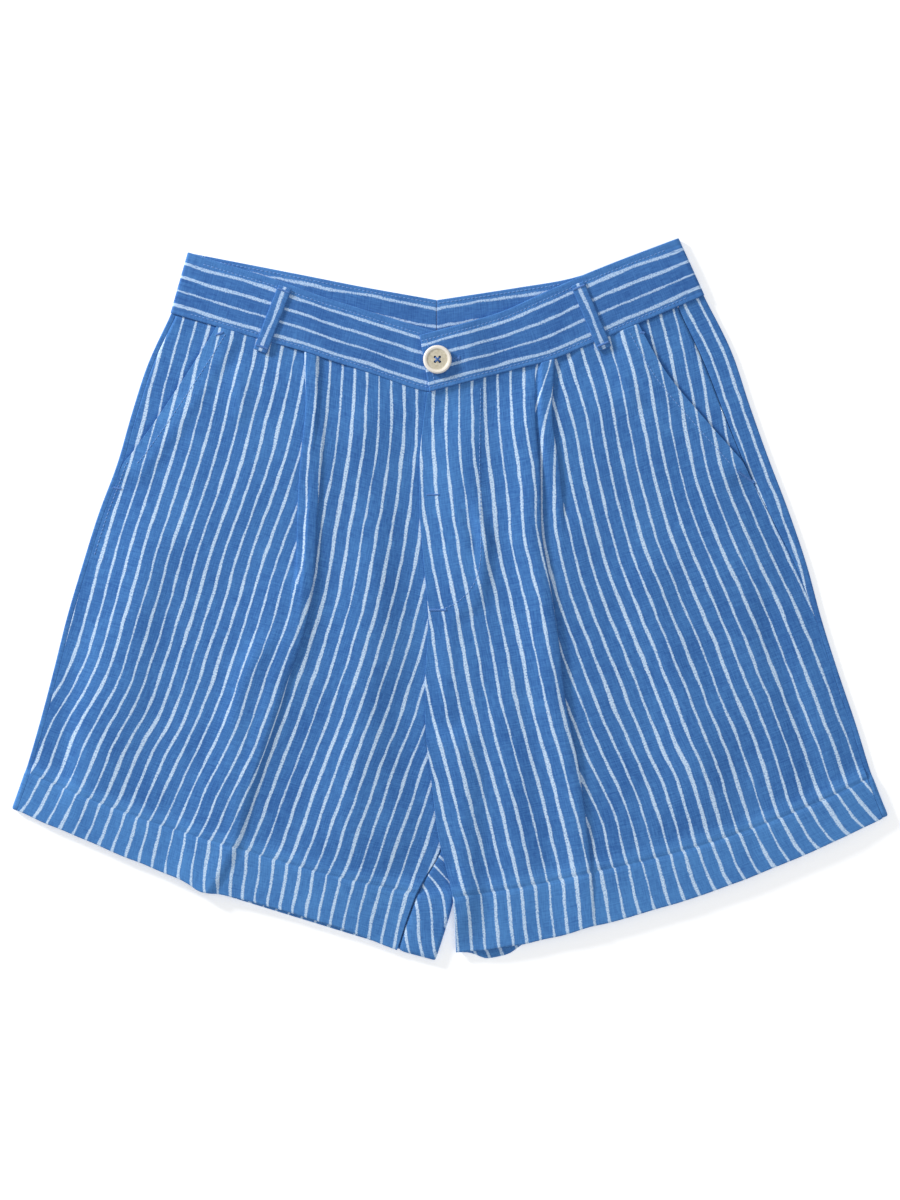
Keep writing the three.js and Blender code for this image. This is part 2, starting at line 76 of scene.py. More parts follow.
studio = bpy.data.worlds.new("studio")
studio.use_nodes = True
room = studio.node_tree.nodes["Background"]
room.inputs["Color"].default_value = (0.95, 0.97, 1, 1)
room.inputs["Strength"].default_value = 0.46
bpy.context.scene.world = studio


# Floor: a wide board, painted matt white, on which the shorts lie. It is part of the studio and not of the
# shorts, and it lies a hair below them, so that the cloth's own underside is never lost in it.
FLOOR_SIZE = 8
FLOOR_DROP = 0.0003


def linear(hex_colour):
    """An sRGB hex colour as the linear numbers that Blender's sockets take."""
    parts = [int(hex_colour[k:k + 2], 16) / 255 for k in (1, 3, 5)]
    return [c / 12.92 if c <= 0.04045 else ((c + 0.055) / 1.055) ** 2.4 for c in parts] + [1]


def add_node(tree, kind, links=None, output=0, **settings):
    """Adds a node with its settings and with what feeds its inputs, and gives the output that is used."""
    node = tree.nodes.new(kind)
    for name, value in settings.items():
        setattr(node, name, value)
    for socket, source in (links or {}).items():
        if isinstance(source, bpy.types.NodeSocket):
            tree.links.new(source, node.inputs[socket])
        else:
            node.inputs[socket].default_value = source
    return node.outputs[output]


def new_material(name, roughness):
    made = bpy.data.materials.new(name)
    made.use_nodes = True
    shader = made.node_tree.nodes["Principled BSDF"]
    shader.inputs["Roughness"].default_value = roughness
    return made, made.node_tree, shader


board, _, board_shader = new_material("matt white studio board", 0.9)
board_shader.inputs["Base Color"].default_value = linear("#fcfcfc")
board_shader.inputs["Specular IOR Level"].default_value = 0.1
board_shader.inputs["Emission Color"].default_value = linear("#ffffff")
board_shader.inputs["Emission Strength"].default_value = 0.3

bpy.ops.object.select_all(action="DESELECT")
bpy.ops.mesh.primitive_plane_add(size=FLOOR_SIZE, location=(0, 0, -FLOOR_DROP))
floor = bpy.context.object
floor.name = "studio_floor"
floor.data.materials.append(board)


# Fronts: one panel of striped linen for each leg, cut with a slanted pocket mouth at the side and one pleat
# at the waist, whose fold faces the side seam. The cloth opens below the pleat into a long soft valley. The
# left front carries the fly's closed edge, and both end in a hem that is turned up twice and sewn.

# Linen: a plain weave of blue yarn, with a pale slub yarn drawn in every 9.6 mm, thick and thin along its
# length. The matt, slightly hairy yarn gives a soft sheen. Cloth that lies double is drawn lighter, partly
# as painted light, and painted shade darkens it beside the fly and behind the pocket mouths. Its own yarns
# are
# 0.5 mm apart, and they are drawn 0.8 mm apart so that they show.
STRIPE_PITCH = 9.6
YARN = 0.8
YARN_RUN = 9
SLUB_RUN = 38
THINNEST_SLUB = 0.38

# What is uneven in the cloth: the size in mm of its patches across and along the yarn, and their detail.
UNEVEN = {
    "course": (30, 34, 2),
    "edge": (0.6, 1.2, 2),
    "fleck": (0.95, 0.95, 1),
    "warp": (YARN, YARN_RUN, 2),
    "weft": (YARN_RUN, YARN, 2),
    "dye": (26, 40, 2),
}


def striped_linen(name, ground, light_ground, slub):
    made, tree, shader = new_material(name, 0.86)
    shader.inputs["Sheen Weight"].default_value = 0.22
    shader.inputs["Sheen Roughness"].default_value = 0.45
    shader.inputs["Sheen Tint"].default_value = linear("#a9c6ee")
    shader.inputs["Specular IOR Level"].default_value = 0.25

    # The cloth's own map gives the number of the stripe across the cloth, and the metres along it.
    grain = add_node(tree, "ShaderNodeUVMap", uv_map="grain")
    stripe = add_node(tree, "ShaderNodeSeparateXYZ", {0: grain}, output="X")
    length = stripe.node.outputs["Y"]
    uneven = {}
    for pattern, (across, lengthways, detail) in UNEVEN.items():
        spot = add_node(tree, "ShaderNodeMapping", {
            "Vector": grain, "Scale": (STRIPE_PITCH / across, 1000 / lengthways, 1)})
        uneven[pattern] = add_node(tree, "ShaderNodeTexNoise", {
            "Vector": spot, "Scale": 1.0, "Detail": detail, "Roughness": 0.55}, output="Fac")

    # A slub's middle wanders by about a millimetre, and this is how far a place lies from it.
    wander = add_node(tree, "ShaderNodeMath", {
        0: uneven["course"], 1: 0.34, 2: -0.17}, operation="MULTIPLY_ADD")
    number = add_node(tree, "ShaderNodeMath", {0: stripe, 1: wander}, operation="ADD")
    nearest = add_node(tree, "ShaderNodeMath", {0: number}, operation="ROUND")
    offset = add_node(tree, "ShaderNodeMath", {0: number, 1: 0.5}, operation="PINGPONG")
    off_mm = add_node(tree, "ShaderNodeMath", {0: offset, 1: STRIPE_PITCH}, operation="MULTIPLY")

    # Its half width is 0.4 to 1.7 mm: each slub has its own, and swells and thins along its length.
    own = add_node(tree, "ShaderNodeTexWhiteNoise", {"W": nearest}, output="Value", noise_dimensions="1D")
    own_width = add_node(tree, "ShaderNodeMath", {0: own, 1: 0.5, 2: -0.37}, operation="MULTIPLY_ADD")
    own_place = add_node(tree, "ShaderNodeMath", {0: nearest, 1: 7.3}, operation="MULTIPLY")
    run = add_node(tree, "ShaderNodeMath", {0: length, 1: 1000 / SLUB_RUN}, operation="MULTIPLY")
    spot = add_node(tree, "ShaderNodeCombineXYZ", {0: own_place, 1: run})
    swell = add_node(tree, "ShaderNodeTexNoise", {
        "Vector": spot, "Scale": 1.0, "Detail": 2.5, "Roughness": 0.6}, output="Fac")
    half = add_node(tree, "ShaderNodeMath", {0: swell, 1: 2.1, 2: own_width}, operation="MULTIPLY_ADD")
    half = add_node(tree, "ShaderNodeMath", {0: half, 1: THINNEST_SLUB}, operation="MAXIMUM")

    # The pale yarn shows within that width, up to a ragged edge, and is flecked where blue weft crosses it.
    ragged = add_node(tree, "ShaderNodeMath", {
        0: uneven["edge"], 1: 1.5, 2: off_mm}, operation="MULTIPLY_ADD")
    beyond = add_node(tree, "ShaderNodeMath", {0: ragged, 1: half}, operation="SUBTRACT")
    pale = add_node(tree, "ShaderNodeMath", {
        0: beyond, 1: -1.9, 2: 1.925}, operation="MULTIPLY_ADD", use_clamp=True)
    flecks = add_node(tree, "ShaderNodeMath", {
        0: uneven["fleck"], 1: 2.9, 2: -0.56}, operation="MULTIPLY_ADD", use_clamp=True)
    pale = add_node(tree, "ShaderNodeMath", {0: pale, 1: flecks}, operation="MULTIPLY")

    # The ground: threads thick and thin both ways and soft cloudy dyeing. An attribute paints light and
    # shade on
    # it: lighter where the cloth lies double, which is partly painted light, and darker with painted shade.
    threads = add_node(tree, "ShaderNodeMath", {0: uneven["warp"], 1: uneven["weft"]}, operation="ADD")
    shade = add_node(tree, "ShaderNodeMath", {0: threads, 1: 1.35, 2: -1.38}, operation="MULTIPLY_ADD")
    shade = add_node(tree, "ShaderNodeMath", {0: uneven["dye"], 1: 0.9, 2: shade}, operation="MULTIPLY_ADD")
    painted_light_and_double_cloth = add_node(tree, "ShaderNodeAttribute", output="Fac", attribute_name="painted_light_and_double_cloth",
                       attribute_type="GEOMETRY")
    shade = add_node(tree, "ShaderNodeMath", {
        0: painted_light_and_double_cloth, 1: 0.24, 2: shade}, operation="MULTIPLY_ADD", use_clamp=True)
    blue = add_node(tree, "ShaderNodeMix", {
        "Factor": shade, "A": linear(ground), "B": linear(light_ground)}, output="Result", data_type="RGBA")
    colour = add_node(tree, "ShaderNodeMix", {
        "Factor": pale, "A": blue, "B": linear(slub)}, output="Result", data_type="RGBA")
    tree.links.new(colour, shader.inputs["Base Color"])

    # The slubs stand out a little from the threads of the ground.
    relief = add_node(tree, "ShaderNodeMath", {0: pale, 1: 0.5, 2: threads}, operation="MULTIPLY_ADD")
    bump = add_node(tree, "ShaderNodeBump", {"Height": relief, "Strength": 0.35, "Distance": 0.0004})
    tree.links.new(bump, shader.inputs["Normal"])
    return made


linen = striped_linen("yarn-dyed linen, plain weave", "#2d5fa2", "#4f89c8", "#c9e1f9")

# The cut, in millimetres. Each row of a table is a section across one leg, 38 mm apart from waist seam to
# hem. Edge is the fold at the side, fold the pleat's edge, and centre the fly, crotch or inseam. Wrap is
# how far in from the edge the side seam lies, and mouth how far in the front ends. Back is where the back
# panel ends inside, backWrap how far it rolls up there, and a bow how far a section hangs down in between.
CLOTH = 0.9
LAYER = 1.3
BACK_LEVEL = 0.5
FRONT_LEVEL = BACK_LEVEL + LAYER
HEM_LIFT = 2.0
SECTION_LENGTH = 38.5
HEM_SECTION = 9


def table(heading, *rows):
    """Rows of numbers, each under the names in the heading."""
    names = heading.split()
    return [dict(zip(names, row)) for row in rows]


RIGHT_CUT = table(
    "edgeX edgeY wrap mouth foldX foldY centreX centreY backX backY backWrap bowSide bowCentre",
    (-194.6, 199.9, 3.4, 32.4, -101.8, 172.8, -12, 144.0, -9.3, 167.4, 0, 0, 0),
    (-210.5, 166, 3.4, 27.5, -100.7, 135, -14.5, 105, -10.5, 105, 0, 0, 0),
    (-222, 131, 3.4, 17, -104.5, 96, -15.5, 66, -11.5, 66, 0, 0, 0),
    (-232.4, 95, 3.4, 4.5, -106.5, 58, -13.5, 27, -12.5, 27, 0, 0, 0),
    (-245.5, 60, 3.4, 3.4, -106.7, 19, -10.5, -12, -13.5, -12, 0, 0, 0),
    (-256.8, 24, 3.4, 3.4, -106.7, -19, -9.5, -51, -14.5, -51, 0, 0, 0),
    (-267.5, -12, 3.4, 3.4, -114, -58, -16.6, -90, -16.0, -90, 0, 0, 0),
    (-276.5, -48, 3.4, 3.4, -125, -96, -9.5, -129, -9.0, -129, 0, 1, 0),
    (-286, -84, 3.4, 3.4, -138, -135, -4, -168, 2, -168, 6, 2, 1),
    (-296.5, -120, 3.4, 3.4, -148.5, -173, -23, -205, 3.2, -203, 26, 3.5, 2.5),
    (-305.6, -146.2, 3.4, 3.4, -166.5, -204, -36.7, -245, -11, -251.9, 26.6, 0.5, -3),
)
LEFT_CUT = table(
    "edgeX edgeY wrap mouth foldX foldY centreX centreY backX backY bowSide bowCentre",
    (177.2, 212.2, 20, 49.1, 73.1, 167.8, -16.4, 144.4, -9.0, 167.4, 0, 0),
    (196, 175, 21, 47, 71.3, 128, -21.1, 105, -10.2, 105, 0, 0),
    (208.7, 137.5, 19, 32, 76.5, 88.5, -21.8, 66, -11.2, 66, 0, 0),
    (222, 100, 17, 17, 80, 49, -18.8, 27, -12.2, 27, 0, 0),
    (236.3, 62.5, 13, 13, 82, 9, -15.6, -12, -13.2, -12, 0, 0),
    (249, 25, 7.5, 7.5, 84, -31, -17.5, -51, -14.2, -51, 0, 0),
    (259, -12, 3.6, 3.6, 86, -71, -17.5, -90, -15.7, -90, 1.5, 0),
    (270.8, -49.5, 3.4, 3.4, 90, -111, -13, -129, -12, -129, 3, 0.5),
    (283.5, -87, 3.4, 3.4, 95, -150, -8, -168, -7, -168, 5, 1),
    (295, -124, 3.4, 3.4, 98.5, -190, 1.5, -207, 2.5, -207, 7.5, 2),
    (305.6, -151.1, 3.4, 3.4, 100.5, -228, 3.9, -246.3, 5, -247.5, 6.7, 3),
)

# The pleat at each section: the cloth tucked beneath its edge, which is negative once it has opened, and how
# high the edge stands. The valley beside it: its distance from the pleat, its own tuck and its depth.
RIGHT_PLEAT = table(
    "tuck rise valley valleyTuck valleyDepth",
    (10, 2.6, 18, -3, 0.0),
    (9, 2.6, 14.5, -3, 0.8),
    (8, 2.5, 14.5, 0, 1.6),
    (5, 2.3, 14, 3, 2.2),
    (-1, 2.6, 11.7, 4, 2.4),
    (-5, 3.1, 5, 1, 2.3),
    (-5, 3.2, 0, -2, 2.2),
    (-5, 3.0, 0, -3, 2.1),
    (-5, 2.8, 0, -3, 1.9),
    (-5, 2.4, 0, -3, 1.7),
    (-5, 2.1, 0, -3, 1.5),
)
LEFT_PLEAT = table(
    "tuck rise valley valleyTuck valleyDepth",
    (12, 2.6, 14, -3, 0.0),
    (8, 2.6, 12.3, 4, 1.6),
    (4, 2.3, 14, 6, 2.0),
    (-3, 1.4, 16.5, 6, 2.3),
    (-6, 0.7, 12, 6, 2.5),
    (-6, 0.5, 8, 6, 2.5),
    (-6, 0.4, 5.5, 5, 2.4),
    (-6, 0.3, 1.5, 4, 2.1),
    (-6, 0.2, 1, 2.5, 1.6),
    (-6, 0.2, 0, 0, 1.0),
    (-6, 0.2, 0, -2, 0.4),
)

# The pale stripes, counted across each section: at the side, at the pleat's outer side and on its ridge, at
# the valley's outer and inner side, and at the centre.
RIGHT_GRAIN = table(
    "side outer ridge floor inner centre",
    (-15.9, -5.3, -2.1, -0.1, -0.1, 8.3),
    (-16.5, -4.4, -1.7, -0.1, -0.1, 8.0),
    (-16.8, -3.8, -1.6, 0.0, 0.1, 8.3),
    (-16.9, -2.7, -1.6, -0.2, 0.6, 9.1),
    (-17.1, -1.2, -1.2, -0.2, 0.9, 10.3),
    (-17.2, -0.1, -0.1, 0.4, 1.2, 11.6),
    (-17.4, 0.65, 0.65, 0.65, 1.3, 12.1),
    (-17.0, 0.9, 0.9, 0.9, 1.55, 14.35),
    (-15.8, 1.4, 1.4, 1.4, 1.75, 16.2),
    (-15.3, 2.2, 2.2, 2.2, 2.2, 15.6),
    (-13.5, 2.6, 2.6, 2.6, 2.6, 15.8),
)
LEFT_GRAIN = table(
    "side outer ridge floor inner centre",
    (-19.1, -8.0, -3.3, -1.8, -1.9, 6.5),
    (-20.2, -6.6, -4.5, -3.2, -1.7, 7.0),
    (-20.9, -6.3, -5.4, -3.9, -1.4, 7.3),
    (-21.5, -5.7, -5.7, -3.9, -1.3, 7.7),
    (-21.4, -4.9, -4.9, -3.6, -0.95, 8.1),
    (-20.9, -3.75, -3.75, -2.95, -0.7, 8.9),
    (-20.3, -2.5, -2.5, -2.0, -0.35, 9.7),
    (-20.0, -1.35, -1.35, -1.2, -0.1, 10.35),
    (-19.9, -0.1, -0.1, -0.1, 0.4, 10.8),
    (-19.7, 0.6, 0.6, 0.6, 0.8, 10.9),
    (-19.1, 1.3, 1.3, 1.3, 1.25, 11.3),
)

# In the turned-up hem the stripes run more upright than above it, and they don't quite meet those above.
RIGHT_LEG = {
    "side": "right",
    "cut": RIGHT_CUT,
    "pleat": RIGHT_PLEAT,
    "grain": RIGHT_GRAIN,
    "hem": dict(zip(RIGHT_GRAIN[0], (-14.7, 0.4, 0.4, 0.4, 0.4, 15.2))),
}
LEFT_LEG = {
    "side": "left",
    "cut": LEFT_CUT,
    "pleat": LEFT_PLEAT,
    "grain": LEFT_GRAIN,
    "hem": dict(zip(LEFT_GRAIN[0], (-18.7, 1.0, 1.0, 1.0, 1.0, 11.05))),
}


def eased(value, start, end):
    """From 0 at the start to 1 at the end, with a soft start and end. The end may be the lower value."""
    t = min(1.0, max(0.0, (value - start) / (end - start)))
    return t * t * (3 - 2 * t)


def mix(a, b, t):
    return a + (b - a) * t


def read(sections, name, at):
    """One column of a table, read smoothly between its sections."""
    last = len(sections) - 1
    i = min(last - 1, int(at))
    p0, p1, p2, p3 = (sections[min(last, max(0, k))][name] for k in (i - 1, i, i + 1, i + 2))
    v0 = (p2 - p0) / 2
    v1 = (p3 - p1) / 2
    t = at - i
    return (2 * p1 - 2 * p2 + v0 + v1) * t**3 + (-3 * p1 + 3 * p2 - 2 * v0 - v1) * t**2 + v0 * t + p1


def place(sections, name, at):
    return Vector((read(sections, name + "X", at), read(sections, name + "Y", at)))


def toward(start, end, distance):
    """A place so many millimetres from one place towards another."""
    return start + (end - start).normalized() * distance


def bowed(start, end, distance, bow):
    """A place between two ends, on a line that hangs down by the section's own bow."""
    t = distance / (end - start).length
    spot = start.lerp(end, t)
    spot.y -= 4 * bow * t * (1 - t)
    return spot


def sheet_mesh(name, grid, thickness, material, flip=False, soften=1):
    """A cloth wall from rows of points: place in mm, stripe number, length in mm, painted light and shade
    (lighter where the cloth lies double, darker in painted shade), and thicker.
    """
    rows, columns = len(grid), len(grid[0])
    points = [point for line in grid for point in line]
    verts = [Vector(point[0]) * 0.001 for point in points]
    faces = []
    for i in range(rows - 1):
        for j in range(columns - 1):
            a = i * columns + j
            face = (a, a + columns, a + columns + 1, a + 1)
            faces.append(face[::-1] if flip else face)
    mesh = bpy.data.meshes.new(name)
    mesh.from_pydata(verts, [], faces)
    grain = mesh.uv_layers.new(name="grain")
    for loop in mesh.loops:
        _, stripe, length, _, _ = points[loop.vertex_index]
        grain.data[loop.index].uv = (stripe, length * 0.001)
    painted_light_and_double_cloth = mesh.attributes.new("painted_light_and_double_cloth", "FLOAT", "POINT")
    painted_light_and_double_cloth.data.foreach_set("value", [point[3] for point in points])
    mesh.materials.append(material)

    piece = bpy.data.objects.new(name, mesh)
    bpy.context.scene.collection.objects.link(piece)
    thick = piece.vertex_groups.new(name="thickness")
    most = 1 + max(point[4] for point in points)
    for index, point in enumerate(points):
        thick.add([index], (1 + point[4]) / most, "REPLACE")

    bpy.ops.object.select_all(action="DESELECT")
    piece.select_set(True)
    bpy.context.view_layer.objects.active = piece
    wall = piece.modifiers.new("cloth thickness", "SOLIDIFY")
    wall.thickness = thickness * most * 0.001
    wall.offset = 0
    wall.vertex_group = "thickness"
    bpy.ops.object.modifier_apply(modifier=wall.name)
    if soften:
        softer = piece.modifiers.new("soft cloth", "SUBSURF")
        softer.levels = soften
        softer.render_levels = soften
        bpy.ops.object.modifier_apply(modifier=softer.name)
    bpy.ops.object.shade_smooth()
    return piece


# How a front lies, in millimetres and in sections. Cloth that rests on cloth stands up from its edges, which
# is its loft. It steps up over the fly and the pocket's facing. Its top edge goes up under the band and is
# puckered there. Its hem is thicker, inwards only, with a groove at the stitches and a wavy edge.
LOFT = 2.4
LOFT_EDGE = 32
FLY_WIDTH = 30
FLY_OVERLAP = 12
FLY_SECTIONS = 4
FLY_BLEND = 12
CROTCH_SECTION = 6
POCKET_SECTION = 3.0
POCKET_TUCK = 12
POCKET_FACING = 14
POCKET_BLEND = 11
POCKET_LIFT = 1.4 * LAYER
SEAM_GAP = 0.3
SEAM_EASE = 0.45
UNDER_BAND = 0.7
TOP_EDGE = 0.1
PUCKER = 0.5
HEM_THICKER = 1.1
HEM_INWARD = 0.45
HEM_GROOVE = 0.55
HEM_WAVE = 0.9
HEM_SAG = 2.6
HEM_JOG = 0.1
RIDGE_WIDTH = 12
CREASE = 1.5

# The soft folds: each a ridge or a trough along a curve through three places, with its width and height.
FOLD_HEIGHT = 1.4
SOFT_FOLDS = table(
    "x1 y1 x2 y2 x3 y3 width height",
    (-124, -20, -143, -55, -152, -100, 7, 1.3),
    (-258, 5, -268, -65, -277, -155, 8, -2.2),
    (-196, 70, -222, -30, -246, -150, 16, 1.2),
    (-60, 60, -64, -80, -80, -215, 17, 1.0),
    (128, 60, 158, -60, 190, -190, 18, 1.1),
    (214, 20, 238, -60, 262, -150, 10, -1.4),
    (22, 60, 24, 25, 19, 0, 5, 1.0),
    (38, -20, 44, -120, 52, -235, 14, 0.9),
    (9, 66, 15, 50, 19, 30, 3, -0.9),
    (17, 70, 22, 52, 27, 32, 3, 0.9),
    (-150, 168, -146, 150, -150, 120, 6, 0.8),
    (-58, 150, -62, 128, -60, 100, 6, 0.7),
    (112, 186, 120, 165, 130, 130, 6, 0.8),
)


def fold_height(x, y):
    """Height of the soft folds at a place. They fade out towards their ends."""
    total = 0.0
    for fold in SOFT_FOLDS:
        t = (fold["y1"] - y) / (fold["y1"] - fold["y3"])
        if not 0 < t < 1:
            continue
        m = (fold["y1"] - fold["y2"]) / (fold["y1"] - fold["y3"])
        middle = (fold["x2"] - mix(fold["x1"], fold["x3"], m)) / (m * (1 - m))
        off = x - mix(fold["x1"], fold["x3"], t) - middle * t * (1 - t)
        ends = eased(t, 0, 0.2) * eased(t, 1, 0.8)
        total += fold["height"] * math.exp(-((off / fold["width"]) ** 2)) * ends
    return FOLD_HEIGHT * total


def rumple(x, y):
    """The small unevenness of washed linen: waves 20 to 60 mm long and under half a millimetre high."""
    broad = noise.noise(Vector((x / 46, y / 64, 3.7)))
    fine = noise.noise(Vector((x / 19, y / 31, 8.1)))
    return 0.75 * broad + 0.35 * fine


# The left leg's inner edge lies on the right leg, between these places down the leg.
CLIMB = {"on": (-84, -100), "off": (-246, -216), "hem": (-186, -196), "across": (27, 7)}


def climb(x, y):
    """How much the left leg is lifted where its inner edge lies over the right leg."""
    lapped = eased(y, *CLIMB["on"]) * eased(y, *CLIMB["off"]) * eased(x, *CLIMB["across"])
    return lapped * (2 * LAYER + 0.5 + HEM_LIFT * eased(y, *CLIMB["hem"]))


def s_bend(at, width, tuck, turns=14):
    """Distances across a fold: out, back beneath by the tuck, and out again. Negative tucks don't lap."""
    sway = max(0.0, tuck + width / 2) / 2
    middle = at + max(0.0, tuck) / 2
    parts = [k / turns for k in range(turns + 1)]
    return [(middle + width * (q - 0.5) + sway * math.sin(2 * math.pi * q), q) for q in parts]


def fold_number(q, step, tuck, before, after, turn_in, turn_out):
    """Stripe number round a fold: on along one layer, back beneath the other, and out again on it."""
    if tuck <= 0:
        return mix(before(step), after(step), eased(q, 0, 1))
    if q <= 0.25:
        return before(step)
    if q >= 0.75:
        return after(step)
    return mix(before(turn_in), after(turn_out), (q - 0.25) * 2)


def front_row(leg, row):
    """One row of a front: its place at a distance from the pleat towards the centre, and how long it is."""
    cut = leg["cut"]
    left = leg["side"] == "left"
    edge, fold = place(cut, "edge", row), place(cut, "fold", row)
    centre = toward(place(cut, "centre", row), fold, SEAM_GAP)
    mouth_in, wrap_in = read(cut, "mouth", row), read(cut, "wrap", row)
    closed = eased(row, POCKET_SECTION - 0.25, POCKET_SECTION)
    side = toward(edge, fold, mix(max(mouth_in, wrap_in) + SEAM_GAP, wrap_in - SEAM_GAP / 2, closed))
    bow_side, bow_centre = read(cut, "bowSide", row), read(cut, "bowCentre", row)
    outer, inner = (side - fold).length, (centre - fold).length
    pocket = eased(row, POCKET_SECTION + 0.35, POCKET_SECTION + 0.05)
    hem = eased(row, HEM_SECTION - 0.28, HEM_SECTION - 0.06)
    hem_edge = eased(row, HEM_SECTION, HEM_SECTION + 1)
    seam = eased(row, SEAM_EASE, 0)
    over_fly = mix(FLY_WIDTH + 8, FLY_OVERLAP + 2, eased(row, FLY_SECTIONS - 0.1, FLY_SECTIONS + 0.2))
    leave_fly = eased(row, CROTCH_SECTION + 0.3, CROTCH_SECTION - 0.2)

    def at(step, stack=0.0, sewn=1.0):
        """The place at this step, lifted by a fold's own stack and by what is sewn beneath it."""
        if step < 0:
            plan = bowed(side, fold, outer + step, bow_side)
        else:
            plan = bowed(fold, centre, step, bow_centre)
        from_side, from_centre = outer + step, inner - step
        mouth = pocket * POCKET_LIFT * eased(from_side, POCKET_FACING + POCKET_BLEND, POCKET_FACING)
        fly = leave_fly * left * LAYER * eased(from_centre, over_fly + FLY_BLEND, over_fly)
        clear = from_centre - (0 if left else FLY_OVERLAP)
        loft = eased(from_side, 0, LOFT_EDGE) * eased(clear, 0, LOFT_EDGE) * eased(row, 0, 1.2)
        soft = max(0.0, LOFT + fold_height(plan.x, plan.y) + rumple(plan.x, plan.y))
        soft *= loft * mix(1, 0.55, hem)
        over = climb(plan.x, plan.y) if left else 0
        groove = math.exp(-(((row - HEM_SECTION) * SECTION_LENGTH / 1.6) ** 2))
        pucker = PUCKER * noise.noise(Vector((plan.x / 4.5, plan.y / 30, 1.3))) * math.exp(-row / 0.4)
        under = max(seam * LAYER * sewn, mouth) + fly + hem * HEM_LIFT + over + pucker
        plan.y += UNDER_BAND * eased(row, TOP_EDGE, 0)
        plan.y += HEM_WAVE * noise.noise(Vector((plan.x / 17, 4.2, 0))) * hem_edge
        if not left:
            plan.y -= HEM_SAG * hem_edge * math.exp(-(((step + 9) / 9) ** 2))
        z = FRONT_LEVEL + under + soft + stack - HEM_GROOVE * groove - HEM_INWARD * hem
        return Vector((plan.x, plan.y, z))

    return at, outer, inner, hem


def front_grid(leg):
    """The whole panel: outer part, pleat, ridge, valley and inner part, with its stripe numbers."""
    left = leg["side"] == "left"
    pleat, numbers = leg["pleat"], leg["grain"]
    rows = [k / 8 for k in range(81)] + [0.03, 8.94, 8.98, 9.02, 9.06, 9.94]
    grid = []
    for row in sorted(rows):
        at, outer, inner, hem = front_row(leg, row)
        whole = (place(leg["cut"], "edge", row) - place(leg["cut"], "fold", row)).length
        rise, tuck = read(pleat, "rise", row), read(pleat, "tuck", row)
        valley = max(0.0, read(pleat, "valley", row))
        depth = max(0.0, read(pleat, "valleyDepth", row))
        valley_tuck = read(pleat, "valleyTuck", row)
        ramp = valley - max(valley, RIDGE_WIDTH)
        s = {name: read(numbers, name, min(row, HEM_SECTION)) for name in numbers[0]}
        if row > HEM_SECTION:
            s = {name: mix(s[name], leg["hem"][name], row - HEM_SECTION) for name in s}
        outer_pitch = whole / (s["outer"] - s["side"])
        inner_pitch = (inner - valley) / (s["centre"] - s["inner"])
        low = 0.3 if left else CREASE * depth
        high = 0.3 + CREASE * depth if left else 0.2 * low
        length = row * SECTION_LENGTH
        jog = HEM_JOG * eased(row, HEM_SECTION - 0.02, HEM_SECTION + 0.02)
        line = []

        def before_pleat(step):
            return s["outer"] + step / outer_pitch

        def on_ridge(step):
            return before_pleat(step) if step < 0 else mix(s["ridge"], s["floor"], step / max(4.0, valley))

        def past_valley(step):
            return s["inner"] + (step - valley) / inner_pitch

        def add(step, stack, number, sewn=0.0):
            """One point. Cloth is double in the hem and at the facings, and drawn lighter there, partly as
            painted light. Beside the fly it is darkened with painted shade.
            """
            from_side, from_centre = outer + step, inner - step
            near_mouth = eased(from_side, POCKET_TUCK, POCKET_TUCK - 4)
            near_mouth *= eased(row, POCKET_SECTION + 0.2, POCKET_SECTION)
            near_fly = left * eased(from_centre, FLY_WIDTH + 6, FLY_WIDTH + 1) * eased(row, 3.9, 3.2)
            painted_shade_beside_fly = (not left) * eased(from_centre, 2.2, 0.7) * eased(row, 6.3, 5.9)
            # Painted light: lighter where the cloth lies double, and painted shade beside the fly.
            painted_light_and_double_cloth = max(1.4 * hem, near_mouth, 0.6 * near_fly) - 1.3 * painted_shade_beside_fly
            line.append((at(step, stack, sewn), number + jog, length, painted_light_and_double_cloth, hem * HEM_THICKER))

        # From the pocket mouth or side seam to the pleat, and round the pleat's fold.
        bend = s_bend(ramp, 5, tuck)
        start, end = bend[0][0], bend[-1][0]
        opened = 0.8 * eased(tuck, 0, -4)
        for step in [0, 0.3, 0.8, 2] + [mix(5, outer + start - 3, k / 26) for k in range(27)]:
            swell = opened * rise * eased(outer + start - step, 34, 0)
            add(step - outer, swell, before_pleat(step - outer), eased(outer - step, 6, 22))
        for step, q in bend:
            number = fold_number(q, step, tuck, before_pleat, on_ridge, ramp + tuck, ramp)
            add(step, rise * mix(opened, 1, q), number)

        # Over the ridge, and round the crease: down into the valley on the right leg, and up on the left.
        crease = valley if left else valley - max(0.0, valley_tuck)
        dip = s_bend(crease, 4 if left else 8, valley_tuck)
        for k in range(1, 6):
            step = mix(end, dip[0][0], k / 6)
            add(step, mix(rise, low, eased(k, 0, 6)), on_ridge(step))
        for step, q in dip:
            number = fold_number(q, step, valley_tuck, on_ridge, past_valley, crease + valley_tuck, crease)
            add(step, mix(low, high, q), number)

        # On to the fly, crotch or inseam.
        begin = dip[-1][0]
        fade = 26 if left else 12
        near = [begin + away for away in (2, 4, 7, 10, 14, 19, 25)]
        rest = [mix(begin + 29, inner - 3, k / 21) for k in range(22)]
        for step in near + rest + [inner - 1, inner - 0.4, inner]:
            away = step - begin
            add(step, high * eased(away, fade, 0), past_valley(step), eased(away, 4, 18))
        grid.append(line)
    return grid


fronts = {}
for leg in (RIGHT_LEG, LEFT_LEG):
    node = f"front_{leg['side']}_leg"
    panel = sheet_mesh(node + "_linen", front_grid(leg), CLOTH, linen, flip=leg["side"] == "left")
    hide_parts(node)
    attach(panel, "root")
    fronts[leg["side"]] = panel


